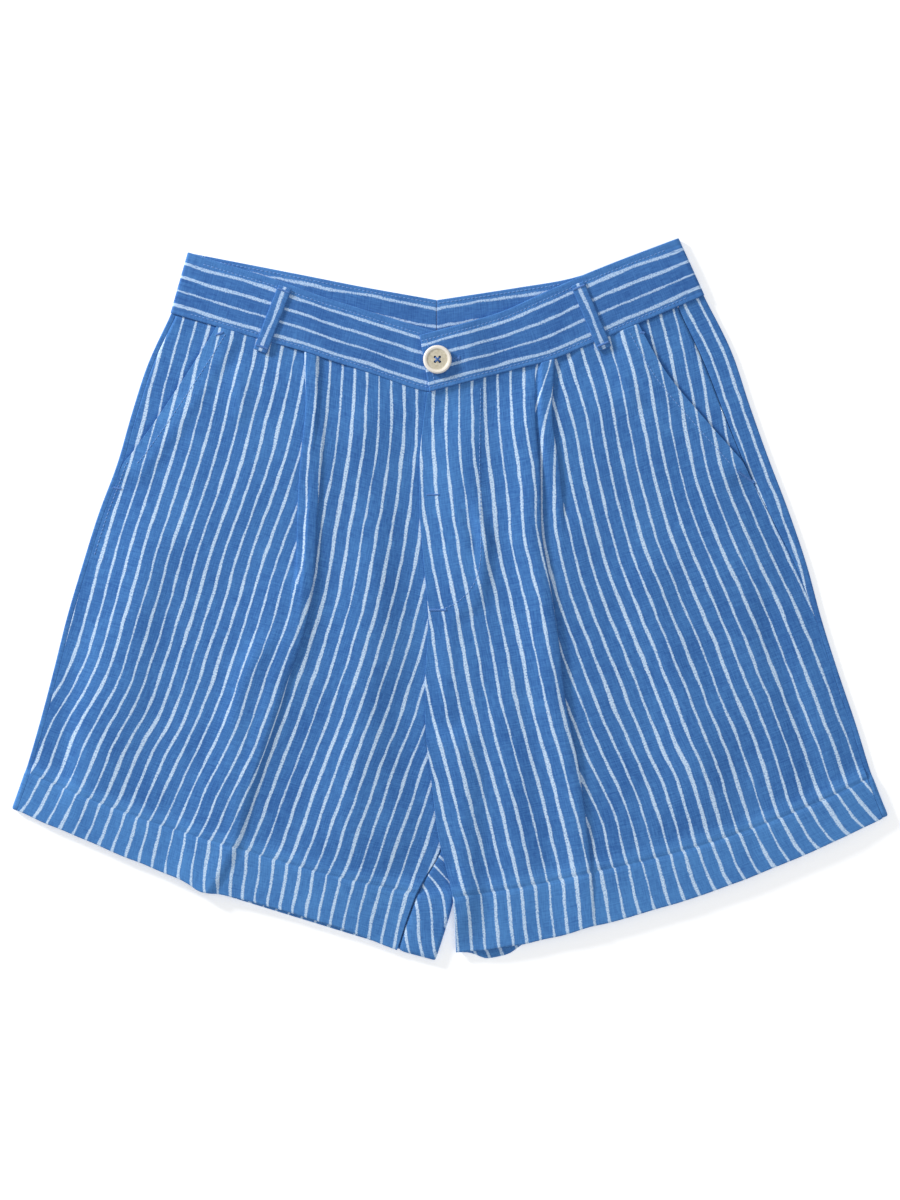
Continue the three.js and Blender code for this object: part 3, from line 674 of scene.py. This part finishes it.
# Backs: one panel of the same linen for each leg, flat on the surface. Each one rolls round the side of the
# leg and up to the side seam, and the right one round the inseam too, where its grain shows on the slant.
# The hem of the left one peeps out below the front, and at the hip both are cut higher than the fronts.
BACK_HIP = {"right": (9.8, 0), "left": (11, 3.6)}
HEM_PEEK = {"from": (14, 24), "to": (54, 44), "drop": 8}
INSEAM_SECTION = 8
BACK_GRAIN_TILT = 0.5
FIRST_STRIPE = 0.45
LEAST_WRAP = 1.2
TOP_LIFT = 0.8


def roll(height, wrap, turns=8):
    """From the cloth below, round the fold, to the cloth on top: how far in from the edge, and how high."""
    radius = height / 2
    angles = [math.pi * k / turns for k in range(turns + 1)]
    bend = [(radius * (1 - math.sin(angle)), radius * (1 - math.cos(angle))) for angle in angles]
    return bend + [(radius + wrap * part, height) for part in (0.3, 0.65, 1)]


def back_grid(leg):
    """The whole panel: the roll to the side seam, the flat back and, on the right, the inseam's roll."""
    left = leg["side"] == "left"
    cut = leg["cut"]
    rise, hip_bow = BACK_HIP[leg["side"]]
    grid = []
    for row in sorted([k / 6 for k in range(61)] + [0.04, 8.94, 9.06]):
        edge, fold, back = (place(cut, name, row) for name in ("edge", "fold", "back"))
        at_top = eased(row, 0.8, 0)
        hip = fold + Vector((0, rise * at_top))
        bow = read(cut, "bowSide", row) + hip_bow * at_top
        hem = eased(row, HEM_SECTION - 0.12, HEM_SECTION + 0.12)
        height = FRONT_LEVEL + hem * HEM_LIFT - BACK_LEVEL
        wrap = max(LEAST_WRAP, read(cut, "wrap", row) - height / 2)
        turn = (edge - hip).length
        total = turn + (hip - back).length
        length = row * SECTION_LENGTH
        line = []

        def add(plan, up, travelled):
            z = BACK_LEVEL + up + HEM_INWARD * hem * (1 - 2 * up / height)
            z += climb(plan.x, plan.y) if left else 0
            if up > height / 2:
                plan = plan + Vector((0, UNDER_BAND)) * eased(row, TOP_EDGE, 0)
                z += TOP_LIFT * eased(row, SEAM_EASE, 0)
            number = travelled / STRIPE_PITCH + FIRST_STRIPE
            # The back's hem is drawn lighter where it lies double, partly as painted light.
            line.append((Vector((plan.x, plan.y, z)), number, length, hem, hem * HEM_THICKER))

        def flat(distance):
            if distance < turn:
                plan = bowed(edge, hip, distance, bow)
            else:
                plan = bowed(hip, back, distance - turn, 0)
            if left:
                span = eased(plan.x, *HEM_PEEK["from"]) * eased(plan.x, *HEM_PEEK["to"])
                plan.y -= HEM_PEEK["drop"] * span * eased(row, HEM_SECTION, HEM_SECTION + 0.6)
            return plan

        for inset, up in reversed(roll(height, wrap)):
            add(toward(edge, fold, inset), up, height / 2 - inset if up > height / 2 else inset)
        for k in range(1, 25):
            distance = mix(4, total - 62, k / 24)
            add(flat(distance), 0, distance)
        for step in (54, 46, 38, 31, 26, 20, 14, 7):
            add(flat(total - step), 0, total - step)
        if left:
            add(flat(total), 0, total)
        else:
            rolled = eased(row, INSEAM_SECTION - 0.17, INSEAM_SECTION)
            wrap = max(LEAST_WRAP, read(cut, "backWrap", row) - height / 2)
            inward = (place(cut, "centre", row) - back).normalized()
            slant = BACK_GRAIN_TILT * length
            for inset, up in roll(height, wrap):
                add(mix(flat(total), back + inward * inset, rolled), up * rolled, total + inset + slant)
        grid.append(line)
    return grid


backs = {}
for leg in (RIGHT_LEG, LEFT_LEG):
    node = f"back_{leg['side']}_leg"
    panel = sheet_mesh(node + "_linen", back_grid(leg), CLOTH, linen, flip=leg["side"] == "right")
    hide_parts(node)
    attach(panel, "root")
    backs[leg["side"]] = panel


# Pocket bearers and fly underlap: single strips of the same linen. A bearer is sewn to the pocket bag and
# shows behind each slanted mouth, where the front's shade on it is painted into its colour. The underlap is
# sewn to the right front, and lies beneath the left front's closed edge.
def bearer_grid(leg):
    cut, numbers = leg["cut"], leg["grain"]
    grid = []
    for k in range(32):
        row = k / 10
        edge, fold = place(cut, "edge", row), place(cut, "fold", row)
        start = read(cut, "wrap", row) - SEAM_GAP / 2
        mouth = read(cut, "mouth", row)
        shown = max(start + 1, mouth - 4)
        first, last = read(numbers, "side", row), read(numbers, "outer", row)
        pitch = (edge - fold).length / (last - first)
        up = UNDER_BAND * eased(row, TOP_EDGE, 0)
        z = FRONT_LEVEL + TOP_LIFT * eased(row, SEAM_EASE, 0)
        insets = [mix(start, shown, j / 12) for j in range(12)] + [shown + j for j in range(5)]
        line = []
        for inset in insets + [mouth + POCKET_TUCK]:
            plan = toward(edge, fold, inset)
            # Painted shade: the bearer is drawn darker just behind the mouth's edge.
            in_shade = -1.6 * eased(inset, mouth - 3.5, mouth - 0.5)
            spot = Vector((plan.x, plan.y + up, z))
            line.append((spot, first + inset / pitch - 0.1, row * SECTION_LENGTH, in_shade, 0))
        grid.append(line)
    return grid


def underlap_grid():
    grid = []
    for k in range(33):
        row = k / 8
        seam = place(RIGHT_CUT, "centre", row)
        line = []
        for j in range(9):
            step = mix(SEAM_GAP, FLY_WIDTH, j / 8)
            spot = Vector((seam.x + step, seam.y, FRONT_LEVEL))
            # Drawn lighter throughout, like the double cloth of the fly, which is partly painted light.
            line.append((spot, 9 + step / STRIPE_PITCH, row * SECTION_LENGTH, 1, 0))
        grid.append(line)
    return grid


small_panels = [
    ("pocket_bearer_right", bearer_grid(RIGHT_LEG), False, (0.041, 0.116), 0.0035, "back_right_leg_linen"),
    ("pocket_bearer_left", bearer_grid(LEFT_LEG), True, (0.041, 0.125), 0.0038, "back_left_leg_linen"),
    ("fly_underlap", underlap_grid(), False, (0.03, 0.157), 0.0047, "back_left_leg_linen"),
]
for node, grid, flip, flat, area, below in small_panels:
    panel = sheet_mesh(node + "_linen", grid, CLOTH, linen, flip=flip, soften=0)
    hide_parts(node)
    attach(panel, "root")


# Waistband: two halves of doubled linen, cut along the grain so that the stripes run round the waist. Each
# runs from centre front round the side to centre back, where its inner side shows, and it is topstitched
# inside both edges. The left half ends in the tab with the buttonhole, which lies on the right half.
BAND = 1.9
BAND_BACK_LEVEL = 1.0
BAND_FRONT_LEVEL = 3.3
TAB_LIFT = 2.3
TAB_COVER = 10
TAB_BLEND = 24
BAND_STITCHES = (0.11, 0.925)
BACK_BAND_STITCHES = 0.06

# The stripes along the band: the first one's place and their pitch, as shares of the band's width, and the
# first one's number. The outer side has four and the inner side three.
OUTER_STRIPES = (0.1825, 0.226, 10)
INNER_STRIPES = (0.14, 0.3, 20)
BAND_WIDTH = 42

# The two halves come from different stretches of cloth. At centre back their ends are drawn together, and
# one more row of the mesh just before each end keeps its corner crisp.
OTHER_CLOTH = 900
CRISP_END = 0.015
SEAM_DRAWN = 0.12

# Doubled over interfacing, the linen is smoother and stiffer, and its blue a little deeper.
band_linen = striped_linen("yarn-dyed linen, doubled over interfacing", "#2c5b9d", "#4b82c2", "#b6d1f0")
BAND_RIGHT = {
    "front": table(
        "topX topY lowX lowY",
        (8, 183.5, 4, 151),
        (-13, 188.6, -15.8, 145.6),
        (-42.6, 197.6, -55, 158.2),
        (-69.6, 206, -80, 166.2),
        (-92, 213.2, -101.8, 173.4),
        (-121, 223.8, -133, 182.3),
        (-150, 232.7, -162.3, 190.8),
        (-172, 239.4, -184, 197.1),
    ),
    "side": {"topX": -182.5, "topY": 243, "lowX": -194.6, "lowY": 200.3},
    "back": table(
        "topX topY lowX lowY",
        (-172, 240.8, -184, 199.4),
        (-140, 234.6, -147, 192.6),
        (-100, 226.8, -106, 184.6),
        (-60, 218.9, -64, 176.8),
        (-9.3, 209.9, -9.3, 167.9),
    ),
}
BAND_LEFT = {
    "front": table(
        "topX topY lowX lowY",
        (-21.3, 184.9, -14.4, 145.3),
        (-7.3, 188.8, -1, 148.8),
        (6, 192.3, 13, 152.5),
        (20, 196.5, 28, 156.4),
        (39.6, 203, 50, 162.2),
        (60, 212.4, 73.1, 168.5),
        (89.2, 225.6, 103, 180.9),
        (115, 236.1, 131.1, 192.9),
        (138, 244.9, 158, 204.4),
        (150, 249.4, 168, 208.7),
    ),
    "side": {"topX": 159, "topY": 252.8, "lowX": 177.2, "lowY": 212.6},
    "back": table(
        "topX topY lowX lowY",
        (150, 249.4, 168, 208.7),
        (122, 237.6, 138, 198),
        (85.1, 225.2, 96, 184.4),
        (46.3, 218.4, 52, 176.4),
        (-9, 209.9, -9, 167.9),
    ),
}
BAND_ACROSS = (
    0, 0.02, 0.06, 0.095, 0.11, 0.125, 0.18, 0.32, 0.44, 0.56, 0.68, 0.8, 0.88, 0.91, 0.925, 0.94, 0.98, 1,
)
MIDDLE = 9


def band_point(stations, at, across, level):
    top = place(stations, "top", at)
    low = place(stations, "low", at)
    spot = top.lerp(low, across)
    return Vector((spot.x, spot.y, level))


def band_line(stations, at, level, length, inner_side):
    """One line across the band. The outer side swells between its two rows of stitches."""
    first, pitch, number = INNER_STRIPES if inner_side else OUTER_STRIPES
    line = []
    for across in BAND_ACROSS:
        spot = band_point(stations, at, across, level)
        if not inner_side:
            groove = sum(math.exp(-(((across - row) * BAND_WIDTH / 0.8) ** 2)) for row in BAND_STITCHES)
            bulge = math.sin(math.pi * min(1, max(0, (across - 0.11) / 0.8)))
            spot.z += 0.3 * bulge - 0.25 * groove
        # The band is drawn lighter towards both edges, where it folds double; this is partly painted light.
        border = max(eased(across, 0.17, 0.13), eased(across, 0.85, 0.89))
        line.append((spot, (across - first) / pitch + number, length, border, 0))
    return line


def band_grid(band, left):
    """The whole half: from centre front to the side, round the side, and along the back to its middle."""
    front, side, back = band["front"], band["side"], band["back"]
    grid = []
    length = 0.0
    steps = 8
    for k in range((len(front) - 1) * steps + 1):
        at = k / steps
        x = (read(front, "topX", at) + read(front, "lowX", at)) / 2
        lift = left * TAB_LIFT * eased(x, TAB_COVER + TAB_BLEND, TAB_COVER)
        grid.append(band_line(front, at, BAND_FRONT_LEVEL + lift, length, False))
        if len(grid) > 1:
            length += (grid[-1][MIDDLE][0] - grid[-2][MIDDLE][0]).length
    last = front[-1]
    inward = Vector((last["topX"] - side["topX"], last["topY"] - side["topY"])).normalized()
    height = BAND_FRONT_LEVEL - BAND_BACK_LEVEL
    for inset, up in reversed(roll(height, 0)[:9]):
        shift = {name: side[name] + (inward.x if name.endswith("X") else inward.y) * inset for name in side}
        length += 0.6
        grid.append(band_line([shift, shift], 0, BAND_BACK_LEVEL + up, length, False))
    along_back = [k / steps for k in range((len(back) - 1) * steps + 1)]
    for at in along_back[:-1] + [along_back[-1] - CRISP_END, along_back[-1]]:
        grid.append(band_line(back, at, BAND_BACK_LEVEL, length + OTHER_CLOTH * left, True))
        length += (grid[-1][MIDDLE][0] - grid[-2][MIDDLE][0]).length
    for point in grid[-1]:
        point[0].x += -SEAM_DRAWN if left else SEAM_DRAWN
    return grid


bands = {}
for side, band in (("right", BAND_RIGHT), ("left", BAND_LEFT)):
    node = f"waistband_{side}"
    left = side == "left"
    panel = sheet_mesh(node + "_linen", band_grid(band, left), BAND, band_linen, flip=left)
    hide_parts(node)
    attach(panel, "root")
    bands[side] = panel


# Belt loops: strips of the same linen folded to 10 mm, with one stripe down the middle. They lie over the
# waistband, and a close row of stitches tacks them at the top and below the band's seam.
LOOP_WIDTH = 10
LOOP_CLOTH = 1.1
LOOP_LEVEL = BAND_FRONT_LEVEL + 1.9
LOOP_DROP = 0.8
LOOP_BOW = 0.25
LOOP_ROUNDED = 0.25
LOOPS = table(
    "side topX topY footX footY",
    ("right", -115.1, 218.6, -132.6, 173.6),
    ("left", 88.9, 221, 108.2, 175.4),
)


def loop_grid(loop):
    top = Vector((loop["topX"], loop["topY"]))
    foot = Vector((loop["footX"], loop["footY"]))
    beside = Vector((top.y - foot.y, foot.x - top.x)).normalized() * LOOP_WIDTH / 2
    length = (top - foot).length
    grid = []
    for k in range(41):
        part = k / 40
        middle = top.lerp(foot, part)
        z = LOOP_LEVEL - LOOP_DROP * eased(part, 0.86, 1) + LOOP_BOW * math.sin(math.pi * part)
        line = []
        for j in range(9):
            offset = j / 4 - 1
            plan = middle + beside * offset
            edge = LOOP_ROUNDED * eased(abs(offset), 0.6, 1)
            # The folded loop is drawn a little lighter, as double cloth, which is partly painted light.
            line.append((Vector((plan.x, plan.y, z - edge)), 30 + offset * 0.5, part * length, 0.6, 0))
        grid.append(line)
    return grid


loops_made = []
for loop in LOOPS:
    node = f"belt_loop_{loop['side']}"
    strip = sheet_mesh(node + "_linen", loop_grid(loop), LOOP_CLOTH, band_linen)
    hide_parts(node)
    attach(strip, "root")
    loops_made.append(strip)


# Sewing: polyester thread a shade lighter than the cloth, whose twisted plies show as light and dark specks.
# The band is topstitched inside both edges, the pocket mouths inside the fold, and the fly along its facing.
# Bartacks, threads laid side by side, hold the ends of the pockets and the fly, and both ends of the loops.
def sewing_thread(name, colour):
    made, tree, shader = new_material(name, 0.6)
    shader.inputs["Sheen Weight"].default_value = 0.15
    spot = add_node(tree, "ShaderNodeTexCoord", output="Object")
    plies = add_node(tree, "ShaderNodeTexNoise", {
        "Vector": spot, "Scale": 1400.0, "Detail": 2.0}, output="Fac")
    pale = linear(colour)
    dark = [part * 0.82 for part in pale[:3]] + [1]
    tone = add_node(tree, "ShaderNodeMix", {
        "Factor": plies, "A": dark, "B": pale}, output="Result", data_type="RGBA")
    tree.links.new(tone, shader.inputs["Base Color"])
    return made


seam_thread = sewing_thread("polyester sewing thread, light blue", "#78a3de")
tack_thread = sewing_thread("polyester sewing thread, clear blue", "#5186cd")
THREAD = 0.24
TACK_THREAD = 0.27
TACK_PITCH = 0.48


def top_of(pieces):
    """The height in mm of the topmost of these pieces at a place."""
    trees = []
    for piece in pieces:
        corners = [vertex.co for vertex in piece.data.vertices]
        trees.append(BVHTree.FromPolygons(corners, [list(face.vertices) for face in piece.data.polygons]))

    def height(x, y):
        hits = [tree.ray_cast(Vector((x, y, 50)) * 0.001, Vector((0, 0, -1)))[0] for tree in trees]
        return 1000 * max([hit.z for hit in hits if hit], default=-1)

    return height


def thread_piece(name, strands, radius, material, sides=6):
    """Short lengths of thread, each a closed tube through its places in mm, in one mesh."""
    verts = []
    faces = []
    for strand in strands:
        base = len(verts)
        heading = (strand[-1] - strand[0]).normalized()
        beside = heading.cross(Vector((0, 0, 1))).normalized()
        upward = beside.cross(heading)
        for index, point in enumerate(strand):
            ring = radius * (0.6 if index in (0, len(strand) - 1) else 1)
            for k in range(sides):
                angle = 2 * math.pi * k / sides
                around = beside * math.cos(angle) + upward * math.sin(angle)
                verts.append((point + around * ring) * 0.001)
        for i in range(len(strand) - 1):
            for k in range(sides):
                a, b = base + i * sides + k, base + i * sides + (k + 1) % sides
                faces.append((a, b, b + sides, a + sides))
        faces.append([base + k for k in range(sides)][::-1])
        faces.append([len(verts) - sides + k for k in range(sides)])
    mesh = bpy.data.meshes.new(name)
    mesh.from_pydata(verts, [], faces)
    mesh.materials.append(material)
    piece = bpy.data.objects.new(name, mesh)
    bpy.context.scene.collection.objects.link(piece)
    bpy.ops.object.select_all(action="DESELECT")
    piece.select_set(True)
    bpy.context.view_layer.objects.active = piece
    bpy.ops.object.mode_set(mode="EDIT")
    bpy.ops.mesh.select_all(action="SELECT")
    bpy.ops.mesh.normals_make_consistent(inside=False)
    bpy.ops.object.mode_set(mode="OBJECT")
    bpy.ops.object.shade_smooth()
    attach(piece, "root")
    return piece


ANY_HEIGHT = 99


def stitches(path, height, pitch=2.9, length=2.1, highest=ANY_HEIGHT):
    """Running stitches of one length along a path, leaving out those that other cloth hides."""
    travelled = [0.0]
    for start, end in zip(path, path[1:]):
        travelled.append(travelled[-1] + (end - start).length)

    def on_path(distance):
        i = max(k for k in range(len(path) - 1) if travelled[k] <= distance)
        part = (distance - travelled[i]) / (travelled[i + 1] - travelled[i])
        return path[i].lerp(path[i + 1], part)

    strands = []
    count = int(travelled[-1] / pitch)
    for k in range(count):
        strand = []
        for part, up in ((0, -0.12), (0.25, 0.1), (0.75, 0.1), (1, -0.12)):
            spot = on_path((k + 0.15) * pitch + length * part)
            strand.append(Vector((spot.x, spot.y, height(spot.x, spot.y) + up)))
        if max(point.z for point in strand) < highest and min(point.z for point in strand) > 0:
            strands.append(strand)
    return strands


def bartack(start, end, width, height):
    """Threads laid side by side across a line between two places."""
    along = (end - start).normalized()
    across = Vector((-along.y, along.x)) * width / 2
    lean = along * TACK_PITCH / 2
    strands = []
    for k in range(int((end - start).length / TACK_PITCH) + 1):
        middle = start + along * TACK_PITCH * k
        spots = [middle + (across + lean) * side for side in (-1, -0.5, 0.5, 1)]
        level = max(height(spot.x, spot.y) for spot in spots)
        ups = (-0.15, 0.2, 0.2, -0.15)
        strands.append([Vector((spot.x, spot.y, level + up)) for spot, up in zip(spots, ups)])
    return strands


def band_path(stations, across):
    """A line along the band, at a share of its width."""
    steps = (len(stations) - 1) * 6
    spots = [band_point(stations, k / 6, across, 0) for k in range(steps + 1)]
    return [Vector((spot.x, spot.y)) for spot in spots]


# The right half's stitches end where the tab lies on it, and the back's where the front band lies on it.
BELOW_TAB = 5.2
BELOW_FRONT = 2.7
on_band = top_of(bands.values())
band_strands = []
for band, highest in ((BAND_RIGHT, BELOW_TAB), (BAND_LEFT, ANY_HEIGHT)):
    for across in BAND_STITCHES:
        band_strands += stitches(band_path(band["front"], across), on_band, highest=highest)
    band_strands += stitches(band_path(band["back"], BACK_BAND_STITCHES), on_band, highest=BELOW_FRONT)
tab_end = [band_point(BAND_LEFT["front"], 0, across, 0) for across in BAND_STITCHES]
from_end = Vector((4.5, 1.2))
band_strands += stitches([Vector((spot.x, spot.y)) + from_end for spot in tab_end], on_band)
thread_piece("topstitching_waistband", band_strands, THREAD, seam_thread)

MOUTH_STITCHES = 8.4
SIDE_STITCHES = 2.4
on_fronts = top_of(list(fronts.values()) + list(backs.values()))
pocket_strands = []
for leg, inset, rows in (
    (RIGHT_LEG, MOUTH_STITCHES, [0.12 + k * 0.1 for k in range(29)]),
    (LEFT_LEG, MOUTH_STITCHES, [0.12 + k * 0.1 for k in range(29)]),
    (RIGHT_LEG, SIDE_STITCHES, [2.9 + k * 0.1 for k in range(20)]),
):
    path = []
    for row in rows:
        at, outer = front_row(leg, row)[:2]
        spot = at(inset - outer)
        path.append(Vector((spot.x, spot.y)))
    pocket_strands += stitches(path, on_fronts)
thread_piece("topstitching_pockets", pocket_strands, THREAD, seam_thread)

FLY_CURVE = [
    (-4, -6), (1.5, -3.6), (6.5, -0.4), (11.5, 4), (16.5, 11),
    (20, 20), (21.6, 31), (21.3, 60), (20.6, 100), (21.5, 149),
]
fly_path = [Vector(spot) for spot in FLY_CURVE]
thread_piece("topstitching_fly", stitches(fly_path, on_fronts), THREAD, seam_thread)

# Each bartack's two ends and its width: two at each pocket mouth, and two on the fly.
TACKS = [
    ((-163.5, 185.2), (-158.5, 187), 1.8),
    ((-235.5, 78.6), (-229.5, 77.6), 1.8),
    ((133, 187), (138.6, 186.2), 1.8),
    ((201, 89.5), (213, 82), 1.8),
    ((-14.3, -7), (-2.5, -7), 1.8),
    ((-16.2, 73.6), (-8, 73.6), 1.4),
]
tack_strands = []
for start, end, width in TACKS:
    tack_strands += bartack(Vector(start), Vector(end), width, on_fronts)
on_loops = top_of(loops_made)
for loop in LOOPS:
    top = Vector((loop["topX"], loop["topY"]))
    foot = Vector((loop["footX"], loop["footY"]))
    beside = Vector((top.y - foot.y, foot.x - top.x)).normalized() * 4.2
    for part in (0.06, 0.93):
        middle = top.lerp(foot, part)
        tack_strands += bartack(middle - beside, middle + beside, 1.6, on_loops)
thread_piece("bartacks", tack_strands, TACK_THREAD, tack_thread)


# Button: turned from an off-white polyester blank and polished to a satin, 20 mm across, with a paler raised
# rim, a mottled dished centre and four holes. Blue thread crosses between the holes and sews it to the right
# half of the band, and the stitched end of the tab's buttonhole shows beside it.
BUTTON_X = -8.8
BUTTON_Y = 167.7
BUTTON_FACE = 9.2
HOLE_SPREAD = 3.3
CROSS_THREAD = 0.3
HOLE_THREAD = 0.2
button_plastic, button_tree, button_shader = new_material("cast polyester button, satin", 0.36)
spot = add_node(button_tree, "ShaderNodeTexCoord", output="Object")
centred = add_node(button_tree, "ShaderNodeMapping", {
    "Vector": spot, "Location": (-BUTTON_X * 0.001, -BUTTON_Y * 0.001, 0), "Scale": (1, 1, 0)})
radius = add_node(button_tree, "ShaderNodeVectorMath", {0: centred}, output="Value", operation="LENGTH")
mottle = add_node(button_tree, "ShaderNodeTexNoise", {
    "Vector": spot, "Scale": 520.0, "Detail": 4.0}, output="Fac")
tone = add_node(button_tree, "ShaderNodeMix", {
    "Factor": mottle, "A": linear("#a89b7d"), "B": linear("#e6dfcb")}, output="Result", data_type="RGBA")
rim = add_node(button_tree, "ShaderNodeMath", {
    0: radius, 1: 1100.0, 2: -7.6}, operation="MULTIPLY_ADD", use_clamp=True)
ringed = add_node(button_tree, "ShaderNodeMix", {
    "Factor": rim, "A": tone, "B": linear("#efe7db")}, output="Result", data_type="RGBA")
button_tree.links.new(ringed, button_shader.inputs["Base Color"])
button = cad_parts["button"]
button.data.materials.clear()
button.data.materials.append(button_plastic)

button_thread = sewing_thread("polyester button thread, blue", "#3f6fb8")
centre = Vector((BUTTON_X, BUTTON_Y, 0))
hole = HOLE_SPREAD / 2
crossing = []
for offset in (-0.28, 0.28):
    for sign in (-1, 1):
        beside = Vector((offset * 0.7, -sign * offset * 0.7, 0))
        start, end = Vector((-hole, -sign * hole, 0)), Vector((hole, sign * hole, 0))
        lift = 0.25 if sign > 0 else 0.6
        course = [(0, -2.4), (0.06, 0), (0.3, lift), (0.5, lift + 0.15), (0.7, lift), (0.94, 0), (1, -2.4)]
        strand = []
        for part, up in course:
            strand.append(centre + beside + start.lerp(end, part) + Vector((0, 0, BUTTON_FACE + up)))
        crossing.append(strand)
thread_piece("button_thread", crossing, CROSS_THREAD, button_thread)

buttonhole = bartack(Vector((-5, 167.9)), Vector((6.5, 168.6)), 2.0, on_band)
buttonhole += bartack(Vector((6.2, 166.9)), Vector((6.6, 170.3)), 1.2, on_band)
thread_piece("buttonhole_stitching", buttonhole, HOLE_THREAD, tack_thread)
